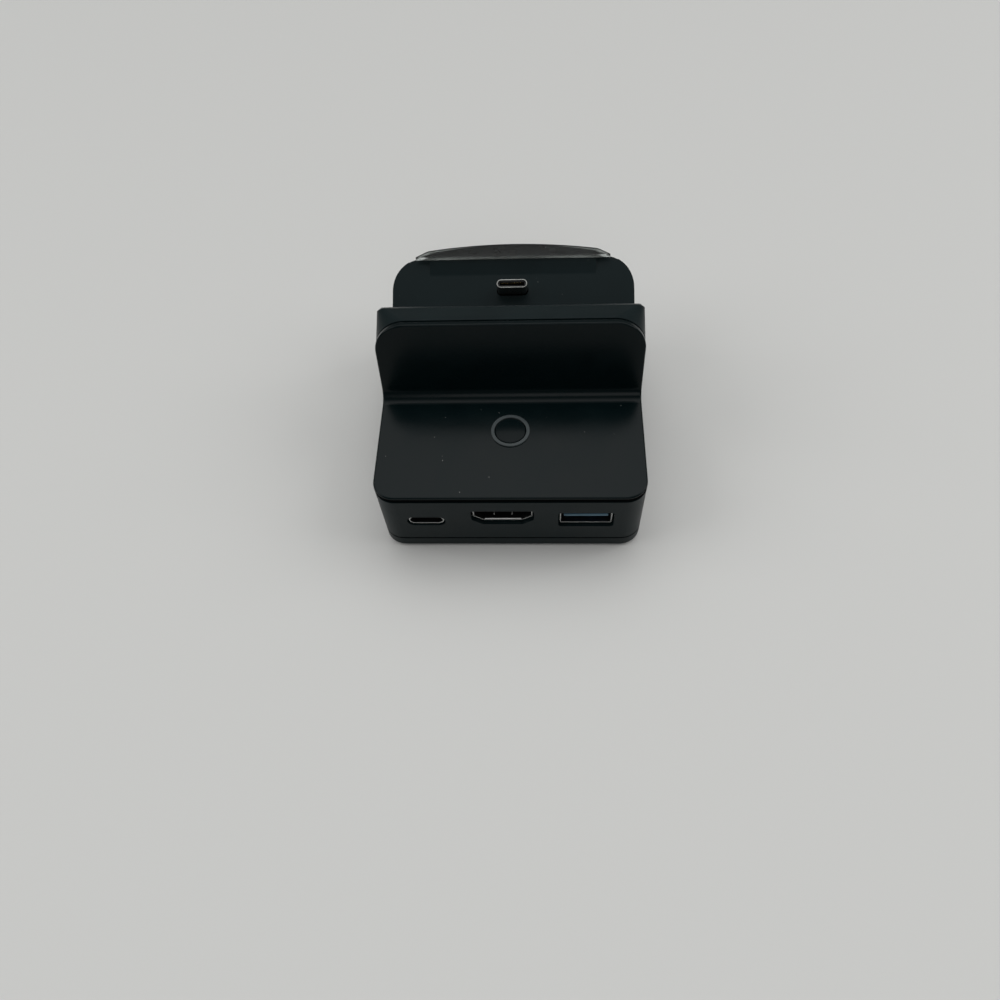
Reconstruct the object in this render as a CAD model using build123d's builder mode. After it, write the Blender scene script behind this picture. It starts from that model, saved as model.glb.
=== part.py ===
from build123d import *
import os
from math import cos, radians, sin, tan

# Handheld console dock, millimetres, +Z up, origin at the middle of its footprint on the table.
# The port face looks along -Y, and the console stands in the slot on the far side, leaning to the port face.

# Overall size
overall_width = 67.4
overall_depth = 76.2
cradle_depth = 21.2
cradle_inset = 0.3

# Heights above the table
foot_drop = 0.8
base_top = 4.1
ledge_height = 24.0
headboard_top = 45.8
rim_top = 43.2
lip_top = 35.5

# Shell walls, seams and fits
housing_wall = 1.8
base_floor = 1.6
cover_thickness = 1.4
parting_gap = 0.2
reveal_gap = 0.7
reveal_depth = 0.8
slip_fit = 0.1
edge_round = 0.45

# Plan corners
port_corner_radius = 5.4
rear_corner_radius = 1.5
cradle_corner_radius = 8.0
lip_bow_radius = 95.0

# Ski-jump cover: a level ledge that sweeps up into a leaning headboard
wedge_depth = 13.8
riser_lean = 11.9
sweep_radius = 3.2
headboard_corner_radius = 8.0
rim_corner_radius = 1.5
cover_rib_depth = 2.4
cover_rib_thickness = 1.0
cover_rib_gap = 9.4

# Console slot
console_lean = 27.0
slot_run = 9.8
slot_lead = 1.0
plug_setback = 10.0
plug_tip_height = 34.6
plug_reach = 5.6
plug_gap = 0.25
tray_thickness = 1.8
lip_depth = 4.7
lip_face_angle = 40.0
lip_foot_radius = 3.0
lip_end_inset = 10.4
lip_clear = 0.3
rim_step = 0.15

# Soft bumper on the front lip
bumper_thickness = 1.0
bumper_overhang = 3.7
bumper_gap = 0.05
bumper_margin = 0.15
bumper_round = 0.25
peg_radius = 1.0
peg_length = 1.6
peg_inset = 1.9
peg_spacing = 11.0
peg_count = 3

# Push button
button_setback = 11.3
ring_outer_radius = 4.95
ring_inner_radius = 4.05
ring_height = 0.4
ring_round = 0.16
sleeve_radius = 4.5
sleeve_length = 3.0
button_clearance = 0.2
button_proud = 0.25
button_dish_radius = 30.0
button_dish_depth = 0.16
button_flange_radius = 4.7
button_flange_thickness = 0.6
stem_radius = 1.6
key_side = 4.6
key_height = 3.5
key_plunger_radius = 1.5
key_plunger_proud = 1.0
key_plunger_sunk = 1.3
key_well_depth = 2.0

# Main board
board_thickness = 1.6
board_top = 10.7
board_side_gap = 7.5
board_front = 2.2
board_rear_gap = 5.0
post_radius = 2.4
post_inset = 3.7
post_front_distance = 24.0
post_rear_inset = 5.0

# Power socket
power_side_gap = 12.3
power_z = 13.0
power_width = 8.94
power_height = 3.16
power_recess = 0.5
power_length = 7.3
power_tongue_width = 6.6
power_tongue_height = 0.7

# Video socket
video_x = -1.95
video_z = 14.7
video_width = 15.0
video_height = 5.5
video_chamfer_x = 2.6
video_chamfer_z = 2.0
video_recess = 1.1
video_length = 9.2
video_tab_spacing = 4.6
video_tab_width = 0.7
video_tab_drop = 0.9
video_tongue_width = 11.2
video_tongue_height = 1.1
video_tongue_drop = 0.5
video_contact_count = 10
video_contact_pitch = 1.0

# Data socket
data_side_gap = 14.7
data_z = 13.7
data_width = 13.1
data_height = 5.7
data_recess = 1.0
data_length = 14.0
data_tongue_width = 11.1
data_tongue_height = 1.9
data_tongue_lift = 1.0
data_contact_count = 4
data_contact_pitch = 2.4

# Shared socket values
shell_sheet = 0.32
port_gap = 0.4
socket_corner = 0.5
socket_back = 2.0
leg_length = 1.2
contact_width = 0.45
contact_thickness = 0.12
tongue_setback = 1.6

# Console plug and its board
plug_width = 8.25
plug_height = 2.4
plug_sheet = 0.3
plug_tail = 4.5
plug_mouth_width = 6.7
plug_mouth_height = 0.9
plug_mouth_depth = 4.6
plug_core_setback = 0.25
sleeve_block_width = 12.4
sleeve_block_height = 6.2
sleeve_block_corner = 2.4
sleeve_block_depth = 5.0
plug_board_drop = 5.5
plug_board_length = 8.0
plug_board_width = 23.0
plug_board_thickness = 1.0
rib_x = 9.0
rib_width = 5.0
rib_depth = 2.5
rib_length = 13.0
plug_screw_drop = 10.5

# Ribbon between the boards
ribbon_width = 10.0
ribbon_thickness = 0.3
ribbon_bend_share = 0.4
ribbon_lead_share = 0.35
ribbon_socket_width = 11.4
ribbon_socket_height = 1.8
ribbon_socket_length = 3.5
window_width = 30.0
window_bottom = 6.0
window_top = 19.0

# Feet and fasteners
foot_radius = 4.0
foot_recess = 0.6
foot_inset = 11.7
foot_front_distance = 7.5
foot_rear_inset = 8.4
case_screw_front_inset = 4.8
case_screw_front_distance = 14.5
case_screw_rear_inset = 7.0
case_screw_setback = 5.0
case_boss_radius = 2.4
case_post_radius = 3.4
case_screw_radius = 1.1
case_head_radius = 1.9
case_head_height = 1.4
case_head_sunk = 0.3
case_shank_length = 9.0
case_boss_height = 14.0
board_screw_radius = 0.95
board_head_radius = 1.7
board_head_height = 1.1
board_shank_length = 5.0
screw_clearance = 0.06
head_clearance = 0.2

# Board components
video_chip_side = 10.0
video_chip_x = -4.5
video_chip_setback = 11.9
power_chip_side = 6.0
power_chip_shift = 3.9
power_chip_distance = 15.0
chip_height = 1.1
coil_side = 6.6
coil_height = 3.2
coil_x = -13.5
coil_distance = 24.5
capacitor_radius = 2.0
capacitor_height = 5.4
capacitor_spacing = 5.0
capacitor_count = 3
capacitor_x = 10.0
capacitor_distance = 28.0


def from_port(distance):
    """Give the Y place of a point at this distance behind the port face."""
    return distance - overall_depth / 2


# Widths and depths that follow from the overall size
cradle_width = overall_width - 2 * cradle_inset
lip_width = cradle_width - 2 * lip_end_inset
bumper_width = lip_width + 2 * bumper_overhang
board_width = overall_width - 2 * board_side_gap
post_half_spacing = board_width / 2 - post_inset
power_x = power_side_gap - overall_width / 2
power_chip_x = power_x + power_chip_shift
data_x = overall_width / 2 - data_side_gap
foot_x = overall_width / 2 - foot_inset
case_screw_front_x = overall_width / 2 - case_screw_front_inset
case_screw_rear_x = cradle_width / 2 - case_screw_rear_inset
block_depth = overall_depth - cradle_depth
slot_near_distance = block_depth - slot_run
riser_distance = slot_near_distance - wedge_depth
cover_rib_reach = riser_distance - cover_rib_gap
button_distance = riser_distance - button_setback
video_chip_distance = button_distance + video_chip_setback
board_rear = block_depth - board_rear_gap
post_rear_distance = board_rear - post_rear_inset
lip_distance = overall_depth - lip_depth
plug_tip_distance = lip_distance - plug_setback
foot_rear_distance = overall_depth - foot_rear_inset
case_screw_rear_distance = block_depth + case_screw_setback

# Places that follow from the sizes above
housing_rim = ledge_height - cover_thickness - reveal_gap
cover_under = ledge_height - cover_thickness
housing_inset = cover_thickness + reveal_gap
headboard_length = (headboard_top - ledge_height) / cos(radians(riser_lean))
lip_seat = lip_top - bumper_thickness
shell_bottom = base_top + parting_gap
board_bottom = board_top - board_thickness
floor_top = foot_drop + base_floor
lean_sine = sin(radians(console_lean))
lean_cosine = cos(radians(console_lean))
lean_slope = tan(radians(console_lean))
plug_foot_distance = plug_tip_distance + plug_reach * lean_sine
plug_foot_height = plug_tip_height - plug_reach * lean_cosine
peg_distance = lip_distance + peg_inset
tray_near = block_depth - housing_wall

port_plane = Plane.XZ.offset(overall_depth / 2)
tray_plane = Plane(
    origin=(0, from_port(plug_foot_distance), plug_foot_height),
    x_dir=(1, 0, 0),
    z_dir=(0, -lean_sine, lean_cosine),
)
plug_plane = Plane(
    origin=(0, from_port(plug_foot_distance), plug_foot_height),
    x_dir=(1, 0, 0),
    z_dir=(0, -lean_cosine, -lean_sine),
)
slot_plane = Plane(
    origin=(0, from_port(slot_near_distance), rim_top),
    x_dir=(1, 0, 0),
    z_dir=(0, -lean_cosine, -lean_sine),
)
case_screw_places = [
    (side * across, from_port(distance))
    for across, distance in (
        (case_screw_front_x, case_screw_front_distance),
        (case_screw_rear_x, case_screw_rear_distance),
    )
    for side in (-1, 1)
]
post_places = [
    (side * post_half_spacing, from_port(distance))
    for distance in (post_front_distance, post_rear_distance)
    for side in (-1, 1)
]
foot_places = [
    (side * foot_x, from_port(distance))
    for distance in (foot_front_distance, foot_rear_distance)
    for side in (-1, 1)
]


def tray_height(distance):
    """Give the height of the tray's top surface at this distance behind the port face."""
    return plug_foot_height + (distance - plug_foot_distance) * lean_slope


def riser_corner(inset):
    """Give the Y, Z place where ledge and headboard lines cross, both moved in by inset."""
    lean = radians(riser_lean)
    across = riser_distance - inset * tan(lean) + inset / cos(lean)
    return (from_port(across), ledge_height - inset)


def riser_point(inset, along):
    """Give the Y, Z place that lies along the headboard from the ledge line, moved in by inset."""
    lean = radians(riser_lean)
    across = riser_distance + along * sin(lean) + inset * cos(lean)
    return (from_port(across), ledge_height + along * cos(lean) - inset * sin(lean))


def riser_plane(inset, along):
    """Give the plane of the headboard's face, moved in by inset, with its origin along it."""
    lean = radians(riser_lean)
    across, height = riser_point(inset, along)
    return Plane(origin=(0, across, height), x_dir=(1, 0, 0), z_dir=(0, -cos(lean), sin(lean)))


def block_outline(inset, height):
    """Give the port block's plan outline, drawn in by inset, at this height."""
    with BuildSketch(Plane.XY.offset(height), mode=Mode.PRIVATE) as outline:
        with Locations((0, from_port(block_depth / 2))):
            Rectangle(overall_width - 2 * inset, block_depth - 2 * inset)
        fillet(outline.vertices().group_by(Axis.Y)[0], port_corner_radius - inset)
        if inset < rear_corner_radius:
            fillet(outline.vertices().group_by(Axis.Y)[-1], rear_corner_radius - inset)
    return outline.sketch


def cradle_outline(inset, height, overlap=0.0):
    """Give the cradle's plan outline, drawn in by inset and run under the block by overlap."""
    near = block_depth - overlap
    with BuildSketch(Plane.XY.offset(height), mode=Mode.PRIVATE) as outline:
        with Locations((0, from_port((near + overall_depth) / 2))):
            Rectangle(cradle_width - 2 * inset, overall_depth - near)
        with Locations((0, overall_depth / 2 - lip_bow_radius)):
            Circle(lip_bow_radius - inset, mode=Mode.INTERSECT)
        fillet(outline.vertices().group_by(Axis.Y)[-1], cradle_corner_radius - inset)
    return outline.sketch


def headboard_wedge(inset):
    """Give the wedge between headboard and slot, with its corners easing from round to square."""
    face_height = (headboard_top - housing_rim) / cos(radians(riser_lean)) - inset
    slot_height = (rim_top - housing_rim) / lean_cosine - inset
    front_plane = riser_plane(housing_inset + inset, headboard_length - inset)
    with BuildPart() as wedge:
        with BuildSketch(front_plane) as face:
            Rectangle(overall_width - 2 * inset, face_height, align=(Align.CENTER, Align.MAX))
            fillet(face.vertices().group_by(Axis.Y)[-1], headboard_corner_radius - inset)
        with BuildSketch(slot_plane.offset(inset)) as slot:
            with Locations((0, -inset)):
                Rectangle(overall_width - 2 * inset, slot_height, align=(Align.CENTER, Align.MAX))
            fillet(slot.vertices().group_by(Axis.Y)[-1], max(rim_corner_radius - inset, edge_round))
        loft(ruled=True)
        rear = Plane.XZ.offset(-from_port(block_depth - inset))
        split(bisect_by=rear, keep=Keep.TOP)
    return wedge.part


def bent_sheet(outer, inner, edge):
    """Give the ski-jump sheet between two insets, drawn in at its rim by edge."""
    front = from_port(edge)
    reach = headboard_length - edge
    with BuildPart() as sheet:
        with BuildSketch(Plane.YZ):
            with BuildLine():
                FilletPolyline(
                    (front, ledge_height - outer),
                    riser_corner(outer),
                    riser_point(outer, reach),
                    radius=sweep_radius + outer,
                )
                FilletPolyline(
                    (front, ledge_height - inner),
                    riser_corner(inner),
                    riser_point(inner, reach),
                    radius=sweep_radius + inner,
                )
                Line((front, ledge_height - outer), (front, ledge_height - inner))
                Line(riser_point(outer, reach), riser_point(inner, reach))
            make_face()
        extrude(amount=overall_width / 2 - edge, both=True)
        front_edges = sheet.faces().sort_by(Axis.Y)[0].edges().sort_by(SortBy.LENGTH)[:2]
        fillet(front_edges, port_corner_radius - edge)
        crown_edges = sheet.faces().sort_by(Axis.Z)[-1].edges().sort_by(SortBy.LENGTH)[:2]
        fillet(crown_edges, headboard_corner_radius - edge)
    return sheet.part


def cradle_cavity():
    """Give the space inside the cradle, under its leaning tray and open towards the block."""
    with BuildPart() as cavity:
        extrude(cradle_outline(housing_wall, base_top, housing_wall), amount=lip_top - base_top)
        split(bisect_by=tray_plane.offset(-tray_thickness), keep=Keep.BOTTOM)
    return cavity.part


def lip_outline(width, margin, height):
    """Give the lip's plan at this height, straight inside, bowed outside, drawn in by margin."""
    near = lip_distance + margin
    with BuildSketch(Plane.XY.offset(height), mode=Mode.PRIVATE) as outline:
        with Locations((0, from_port(near))):
            Rectangle(width, lip_depth - 2 * margin, align=(Align.CENTER, Align.MIN))
        with Locations((0, overall_depth / 2 - lip_bow_radius)):
            Circle(lip_bow_radius - margin, mode=Mode.INTERSECT)
    return outline.sketch


def space_beside_lip():
    """Give the space over the tray past both ends of the lip."""
    side_width = (overall_width - lip_width) / 2
    with BuildPart() as space:
        with BuildSketch():
            with Locations((0, from_port(tray_near))):
                with GridLocations(lip_width + side_width, 0, 2, 1):
                    Rectangle(side_width, lip_distance - tray_near, align=(Align.CENTER, Align.MIN))
        extrude(amount=headboard_top)
        split(bisect_by=tray_plane, keep=Keep.TOP)
    return space.part


def space_behind_lip():
    """Give the space over the rim that runs round the lip, a step below the tray."""
    with BuildPart() as space:
        with BuildSketch():
            with Locations((0, from_port(lip_distance))):
                Rectangle(overall_width, overall_depth, align=(Align.CENTER, Align.MIN))
            add(lip_outline(lip_width, -lip_clear, 0), mode=Mode.SUBTRACT)
        extrude(amount=headboard_top)
        split(bisect_by=tray_plane.offset(-rim_step), keep=Keep.TOP)
    return space.part


def socket_outline(plane, x, z, width, height, corner):
    """Give a rounded oblong on the plane, centred at x, z."""
    with BuildSketch(plane, mode=Mode.PRIVATE) as outline:
        with Locations((x, z)):
            RectangleRounded(width, height, corner)
    return outline.sketch


def video_outline(plane, grow):
    """Give the video socket's outline, wide side up with cut lower corners, grown all round."""
    left = video_x - video_width / 2
    right = video_x + video_width / 2
    bottom = video_z - video_height / 2
    top = video_z + video_height / 2
    with BuildSketch(plane, mode=Mode.PRIVATE) as outline:
        with BuildLine():
            Polyline(
                (left, top),
                (right, top),
                (right, bottom + video_chamfer_z),
                (right - video_chamfer_x, bottom),
                (left + video_chamfer_x, bottom),
                (left, bottom + video_chamfer_z),
                close=True,
            )
        make_face()
        fillet(outline.vertices(), socket_corner)
        if grow:
            offset(amount=grow, mode=Mode.REPLACE)
    return outline.sketch


os.makedirs("parts", exist_ok=True)

# Base plate: a shallow tray with board posts, screw posts and recesses for the feet
with BuildPart() as base_plate:
    extrude(block_outline(0, foot_drop), amount=base_top - foot_drop)
    extrude(cradle_outline(0, foot_drop, housing_wall), amount=base_top - foot_drop)
    fillet(base_plate.faces().sort_by(Axis.Z)[0].outer_wire().edges(), edge_round)
    extrude(block_outline(housing_wall, floor_top), amount=base_top, mode=Mode.SUBTRACT)
    extrude(
        cradle_outline(housing_wall, floor_top, 2 * housing_wall),
        amount=base_top,
        mode=Mode.SUBTRACT,
    )
    with BuildSketch(Plane.XY.offset(floor_top)):
        with Locations(*post_places):
            Circle(post_radius)
    extrude(amount=board_bottom - floor_top)
    with BuildSketch(Plane.XY.offset(floor_top)):
        with Locations(*case_screw_places):
            Circle(case_post_radius)
    extrude(amount=base_top - floor_top)
    with BuildSketch(Plane.XY.offset(board_bottom)):
        with Locations(*post_places):
            Circle(board_screw_radius + screw_clearance)
    extrude(amount=-(board_shank_length + slip_fit), mode=Mode.SUBTRACT)
    with BuildSketch(Plane.XY.offset(foot_drop)):
        with Locations(*case_screw_places):
            Circle(case_screw_radius + screw_clearance)
    extrude(amount=base_top - foot_drop, mode=Mode.SUBTRACT)
    with BuildSketch(Plane.XY.offset(foot_drop)):
        with Locations(*case_screw_places):
            Circle(case_head_radius + head_clearance)
    extrude(amount=case_head_height + case_head_sunk, mode=Mode.SUBTRACT)
    with BuildSketch(Plane.XY.offset(foot_drop)):
        with Locations(*foot_places):
            Circle(foot_radius + slip_fit)
    extrude(amount=foot_recess, mode=Mode.SUBTRACT)
base_plate.part.label = "base_plate"
export_step(base_plate.part, "parts/base_plate.step")

# Rubber feet: four discs seated in the base plate
with BuildPart() as rubber_feet:
    with BuildSketch():
        with Locations(*foot_places):
            Circle(foot_radius)
    extrude(amount=foot_drop + foot_recess)
    chamfer(rubber_feet.edges().group_by(Axis.Z)[0], edge_round / 2)
rubber_feet.part.label = "rubber_feet"
export_step(rubber_feet.part, "parts/rubber_feet.step")

# Case screws: four pan heads that draw the base plate against the shells
case_seat = foot_drop + case_head_sunk + case_head_height
with BuildPart() as case_screws:
    with BuildSketch(Plane.XY.offset(case_seat)):
        with Locations(*case_screw_places):
            Circle(case_screw_radius)
    extrude(amount=case_shank_length)
    with BuildSketch(Plane.XY.offset(case_seat)):
        with Locations(*case_screw_places):
            Circle(case_head_radius)
    extrude(amount=-case_head_height)
    chamfer(case_screws.edges().group_by(Axis.Z)[0], case_head_height / 4)
case_screws.part.label = "case_screws"
export_step(case_screws.part, "parts/case_screws.step")

# Main housing: the port block and the hollow wedge behind the headboard
wedge_solid = headboard_wedge(0)
wedge_space = headboard_wedge(housing_wall)
fill_radius = sweep_radius + housing_inset
fill_tangent = fill_radius * tan(radians(90 - riser_lean) / 2)
fill_corner = riser_corner(housing_inset)
fill_end = (
    fill_corner[0] + fill_tangent * sin(radians(riser_lean)),
    fill_corner[1] + fill_tangent * cos(radians(riser_lean)),
)
cover_seat = bent_sheet(cover_thickness, housing_inset, reveal_depth)
with BuildPart() as main_housing:
    extrude(block_outline(0, shell_bottom), amount=housing_rim - shell_bottom)
    # The seat carries the cover and leaves a shadow line round it
    add(cover_seat)
    extrude(block_outline(housing_wall, base_top), amount=cover_under - base_top, mode=Mode.SUBTRACT)
    add(wedge_solid)
    # The corner under the cover's sweep is filled out to follow it
    with BuildSketch(Plane.YZ):
        with BuildLine():
            TangentArc(
                (fill_corner[0] - fill_tangent, fill_corner[1]),
                fill_end,
                tangent=(1, 0),
            )
            Polyline(fill_end, fill_corner, (fill_corner[0] - fill_tangent, fill_corner[1]))
        make_face()
    extrude(amount=overall_width / 2, both=True)
    add(wedge_space, mode=Mode.SUBTRACT)
    # Screw bosses, each held to the side wall by a gusset
    with BuildSketch(Plane.XY.offset(base_top)):
        with Locations(*case_screw_places[:2]):
            Circle(case_boss_radius)
        for side in (-1, 1):
            with Locations((side * (overall_width / 2 - housing_wall), from_port(case_screw_front_distance))):
                Rectangle(
                    2 * (overall_width / 2 - housing_wall - case_screw_front_x),
                    case_boss_radius,
                )
        add(block_outline(housing_wall / 2, 0), mode=Mode.INTERSECT)
    extrude(amount=case_boss_height)
    with BuildSketch(Plane.XY.offset(base_top)):
        with Locations(*case_screw_places[:2]):
            Circle(case_screw_radius + screw_clearance)
    extrude(amount=case_shank_length, mode=Mode.SUBTRACT)
    # Port openings and the window for the ribbon
    extrude(
        socket_outline(
            port_plane,
            power_x,
            power_z,
            power_width + 2 * port_gap,
            power_height + 2 * port_gap,
            power_height / 2 + port_gap - slip_fit,
        ),
        amount=-housing_wall,
        mode=Mode.SUBTRACT,
    )
    extrude(video_outline(port_plane, port_gap), amount=-housing_wall, mode=Mode.SUBTRACT)
    extrude(
        socket_outline(
            port_plane,
            data_x,
            data_z,
            data_width + 2 * port_gap,
            data_height + 2 * port_gap,
            socket_corner + port_gap,
        ),
        amount=-housing_wall,
        mode=Mode.SUBTRACT,
    )
    with BuildSketch(Plane.XZ.offset(-from_port(block_depth))):
        with Locations((0, window_bottom)):
            Rectangle(window_width, window_top - window_bottom, align=(Align.CENTER, Align.MIN))
    extrude(amount=housing_wall, mode=Mode.SUBTRACT)
    # The slot's near edge leads the console in
    slot_edge = main_housing.edges().filter_by(Axis.X).sort_by_distance(slot_plane.origin)[0]
    chamfer(slot_edge, slot_lead)
main_housing.part.label = "main_housing"
export_step(main_housing.part, "parts/main_housing.step")

# Top cover: one bent sheet, ledge and headboard, with a rib that locates it in the housing
cover_sheet = bent_sheet(0, cover_thickness, 0)
with BuildPart() as top_cover:
    add(cover_sheet)
    # The rim of the outer skin is eased all round
    ledge_face = top_cover.faces().filter_by(Axis.Z).sort_by(Axis.Z)[-1]
    sweep_face = top_cover.faces().filter_by(GeomType.CYLINDER).sort_by(
        lambda face: abs(face.radius - sweep_radius)
    )[0]
    headboard_face = top_cover.faces().filter_by(GeomType.PLANE).sort_by_distance(
        riser_plane(0, headboard_length / 2).origin
    )[0]
    skin_edges = ledge_face.edges() + sweep_face.edges() + headboard_face.edges()
    bend_lines = ledge_face.edges() & sweep_face.edges()
    bend_lines += sweep_face.edges() & headboard_face.edges()
    fillet(skin_edges - bend_lines, edge_round)
    with BuildSketch(Plane.XY.offset(ledge_height)):
        with Locations((0, from_port(button_distance))):
            Circle(sleeve_radius + slip_fit / 2)
    extrude(amount=-cover_thickness, mode=Mode.SUBTRACT)
    with BuildSketch(Plane.XY.offset(cover_under)):
        add(block_outline(housing_wall + slip_fit, 0))
        add(block_outline(housing_wall + slip_fit + cover_rib_thickness, 0), mode=Mode.SUBTRACT)
        with Locations((0, from_port(0))):
            Rectangle(
                overall_width,
                cover_rib_reach,
                align=(Align.CENTER, Align.MIN),
                mode=Mode.INTERSECT,
            )
    extrude(amount=-cover_rib_depth)
top_cover.part.label = "top_cover"
export_step(top_cover.part, "parts/top_cover.step")

# Cradle: the front shell with the leaning tray, the lip and the pads for the plug board
lip_slope = tan(radians(lip_face_angle))
lip_rise = lip_seat - tray_height(lip_distance)
lip_foot_distance = lip_distance - lip_rise / (lip_slope - lean_slope)
lip_foot = (from_port(lip_foot_distance), tray_height(lip_foot_distance))
cavity_solid = cradle_cavity()
side_space = space_beside_lip()
rim_space = space_behind_lip()
with BuildPart() as cradle:
    extrude(cradle_outline(0, shell_bottom), amount=lip_seat - shell_bottom)
    add(cavity_solid, mode=Mode.SUBTRACT)
    # The slot: over the tray and in front of the lip
    with BuildSketch(Plane.YZ) as slot_space:
        with BuildLine():
            Polyline(
                (from_port(tray_near), tray_height(tray_near)),
                lip_foot,
                (from_port(lip_distance), lip_seat),
                (from_port(lip_distance), headboard_top),
                (from_port(tray_near), headboard_top),
                close=True,
            )
        make_face()
        fillet(slot_space.vertices().sort_by_distance(lip_foot)[0], lip_foot_radius)
    extrude(amount=cradle_width, both=True, mode=Mode.SUBTRACT)
    add(side_space, mode=Mode.SUBTRACT)
    add(rim_space, mode=Mode.SUBTRACT)
    # Opening for the plug
    extrude(
        socket_outline(
            tray_plane,
            0,
            0,
            plug_width + 2 * plug_gap,
            plug_height + 2 * plug_gap,
            plug_height / 2 + plug_gap - slip_fit / 2,
        ),
        amount=-tray_thickness,
        mode=Mode.SUBTRACT,
    )
    # Pads that carry the plug board
    with BuildSketch(plug_plane.offset(plug_board_thickness / 2)):
        with Locations((-rib_x, -tray_thickness / 2), (rib_x, -tray_thickness / 2)):
            Rectangle(rib_width, rib_length, align=(Align.CENTER, Align.MAX))
    extrude(amount=rib_depth)
    with BuildSketch(plug_plane.offset(plug_board_thickness / 2)):
        with Locations((-rib_x, -plug_screw_drop), (rib_x, -plug_screw_drop)):
            Circle(board_screw_radius + screw_clearance)
    extrude(amount=rib_depth, mode=Mode.SUBTRACT)
    # Screw bosses that hang from the tray
    with BuildSketch(Plane.XY.offset(base_top)):
        with Locations(*case_screw_places[2:]):
            Circle(case_boss_radius)
    extrude(amount=tray_height(case_screw_rear_distance) - tray_thickness - base_top)
    with BuildSketch(Plane.XY.offset(base_top)):
        with Locations(*case_screw_places[2:]):
            Circle(case_screw_radius + screw_clearance)
    extrude(amount=case_shank_length, mode=Mode.SUBTRACT)
    # Holes for the bumper's pegs
    with BuildSketch(Plane.XY.offset(lip_seat)):
        with Locations((0, from_port(peg_distance))):
            with GridLocations(peg_spacing, 0, peg_count, 1):
                Circle(peg_radius + slip_fit)
    extrude(amount=-(peg_length + slip_fit), mode=Mode.SUBTRACT)
cradle.part.label = "cradle"
export_step(cradle.part, "parts/cradle.step")

# Clear bumper: a soft strip on the lip, straight towards the console and bowed outside
with BuildPart() as clear_bumper:
    extrude(
        lip_outline(bumper_width, bumper_margin, lip_seat + bumper_gap),
        amount=bumper_thickness - bumper_gap,
    )
    fillet(clear_bumper.faces().sort_by(Axis.Z)[-1].outer_wire().edges(), bumper_round)
    with BuildSketch(Plane.XY.offset(lip_seat + bumper_gap)):
        with Locations((0, from_port(peg_distance))):
            with GridLocations(peg_spacing, 0, peg_count, 1):
                Circle(peg_radius)
    extrude(amount=-(bumper_gap + peg_length))
clear_bumper.part.label = "clear_bumper"
export_step(clear_bumper.part, "parts/clear_bumper.step")

# Button ring: a bezel on the ledge with a sleeve that guides the cap
button_y = from_port(button_distance)
with BuildPart() as button_ring:
    with BuildSketch(Plane.XY.offset(ledge_height)):
        with Locations((0, button_y)):
            Circle(ring_outer_radius)
            Circle(ring_inner_radius, mode=Mode.SUBTRACT)
    extrude(amount=ring_height)
    fillet(button_ring.faces().sort_by(Axis.Z)[-1].edges(), ring_round)
    with BuildSketch(Plane.XY.offset(ledge_height)):
        with Locations((0, button_y)):
            Circle(sleeve_radius)
            Circle(ring_inner_radius, mode=Mode.SUBTRACT)
    extrude(amount=-sleeve_length)
button_ring.part.label = "button_ring"
export_step(button_ring.part, "parts/button_ring.step")

# Button cap: a dished cap, a flange that keeps it in and a stem down to the key
cap_top = ledge_height + button_proud
cap_radius = ring_inner_radius - button_clearance
flange_top = ledge_height - sleeve_length - button_clearance
plunger_top = board_top + key_height + key_plunger_proud
with BuildPart() as button_cap:
    with BuildSketch(Plane.XY.offset(flange_top)):
        with Locations((0, button_y)):
            Circle(cap_radius)
    extrude(amount=cap_top - flange_top)
    fillet(button_cap.faces().sort_by(Axis.Z)[-1].edges(), ring_round)
    with Locations((0, button_y, cap_top + button_dish_radius - button_dish_depth)):
        Sphere(button_dish_radius, mode=Mode.SUBTRACT)
    with BuildSketch(Plane.XY.offset(flange_top)):
        with Locations((0, button_y)):
            Circle(button_flange_radius)
    extrude(amount=-button_flange_thickness)
    with BuildSketch(Plane.XY.offset(plunger_top)):
        with Locations((0, button_y)):
            Circle(stem_radius)
    extrude(amount=flange_top - plunger_top)
button_cap.part.label = "button_cap"
export_step(button_cap.part, "parts/button_cap.step")

# Key switch: a square body on the board with a well for its plunger
with BuildPart() as key_switch:
    with BuildSketch(Plane.XY.offset(board_top)) as key_body:
        with Locations((0, button_y)):
            Rectangle(key_side, key_side)
        chamfer(key_body.vertices(), edge_round)
    extrude(amount=key_height)
    with BuildSketch(Plane.XY.offset(board_top + key_height)):
        with Locations((0, button_y)):
            Circle(key_plunger_radius + button_clearance)
    extrude(amount=-key_well_depth, mode=Mode.SUBTRACT)
key_switch.part.label = "key_switch"
export_step(key_switch.part, "parts/key_switch.step")

with BuildPart() as key_plunger:
    with BuildSketch(Plane.XY.offset(plunger_top)):
        with Locations((0, button_y)):
            Circle(key_plunger_radius)
    extrude(amount=-(key_plunger_proud + key_plunger_sunk))
    chamfer(key_plunger.edges().group_by(Axis.Z)[-1], ring_round)
key_plunger.part.label = "key_plunger"
export_step(key_plunger.part, "parts/key_plunger.step")

# Main board: carries the three sockets, the key and the ribbon socket
with BuildPart() as main_board:
    with BuildSketch(Plane.XY.offset(board_bottom)) as board_shape:
        with Locations((0, from_port(board_front))):
            Rectangle(board_width, board_rear - board_front, align=(Align.CENTER, Align.MIN))
        chamfer(board_shape.vertices().group_by(Axis.Y)[-1], socket_back)
        with Locations(*post_places):
            Circle(board_screw_radius + head_clearance, mode=Mode.SUBTRACT)
    extrude(amount=board_thickness)
main_board.part.label = "main_board"
export_step(main_board.part, "parts/main_board.step")

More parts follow.
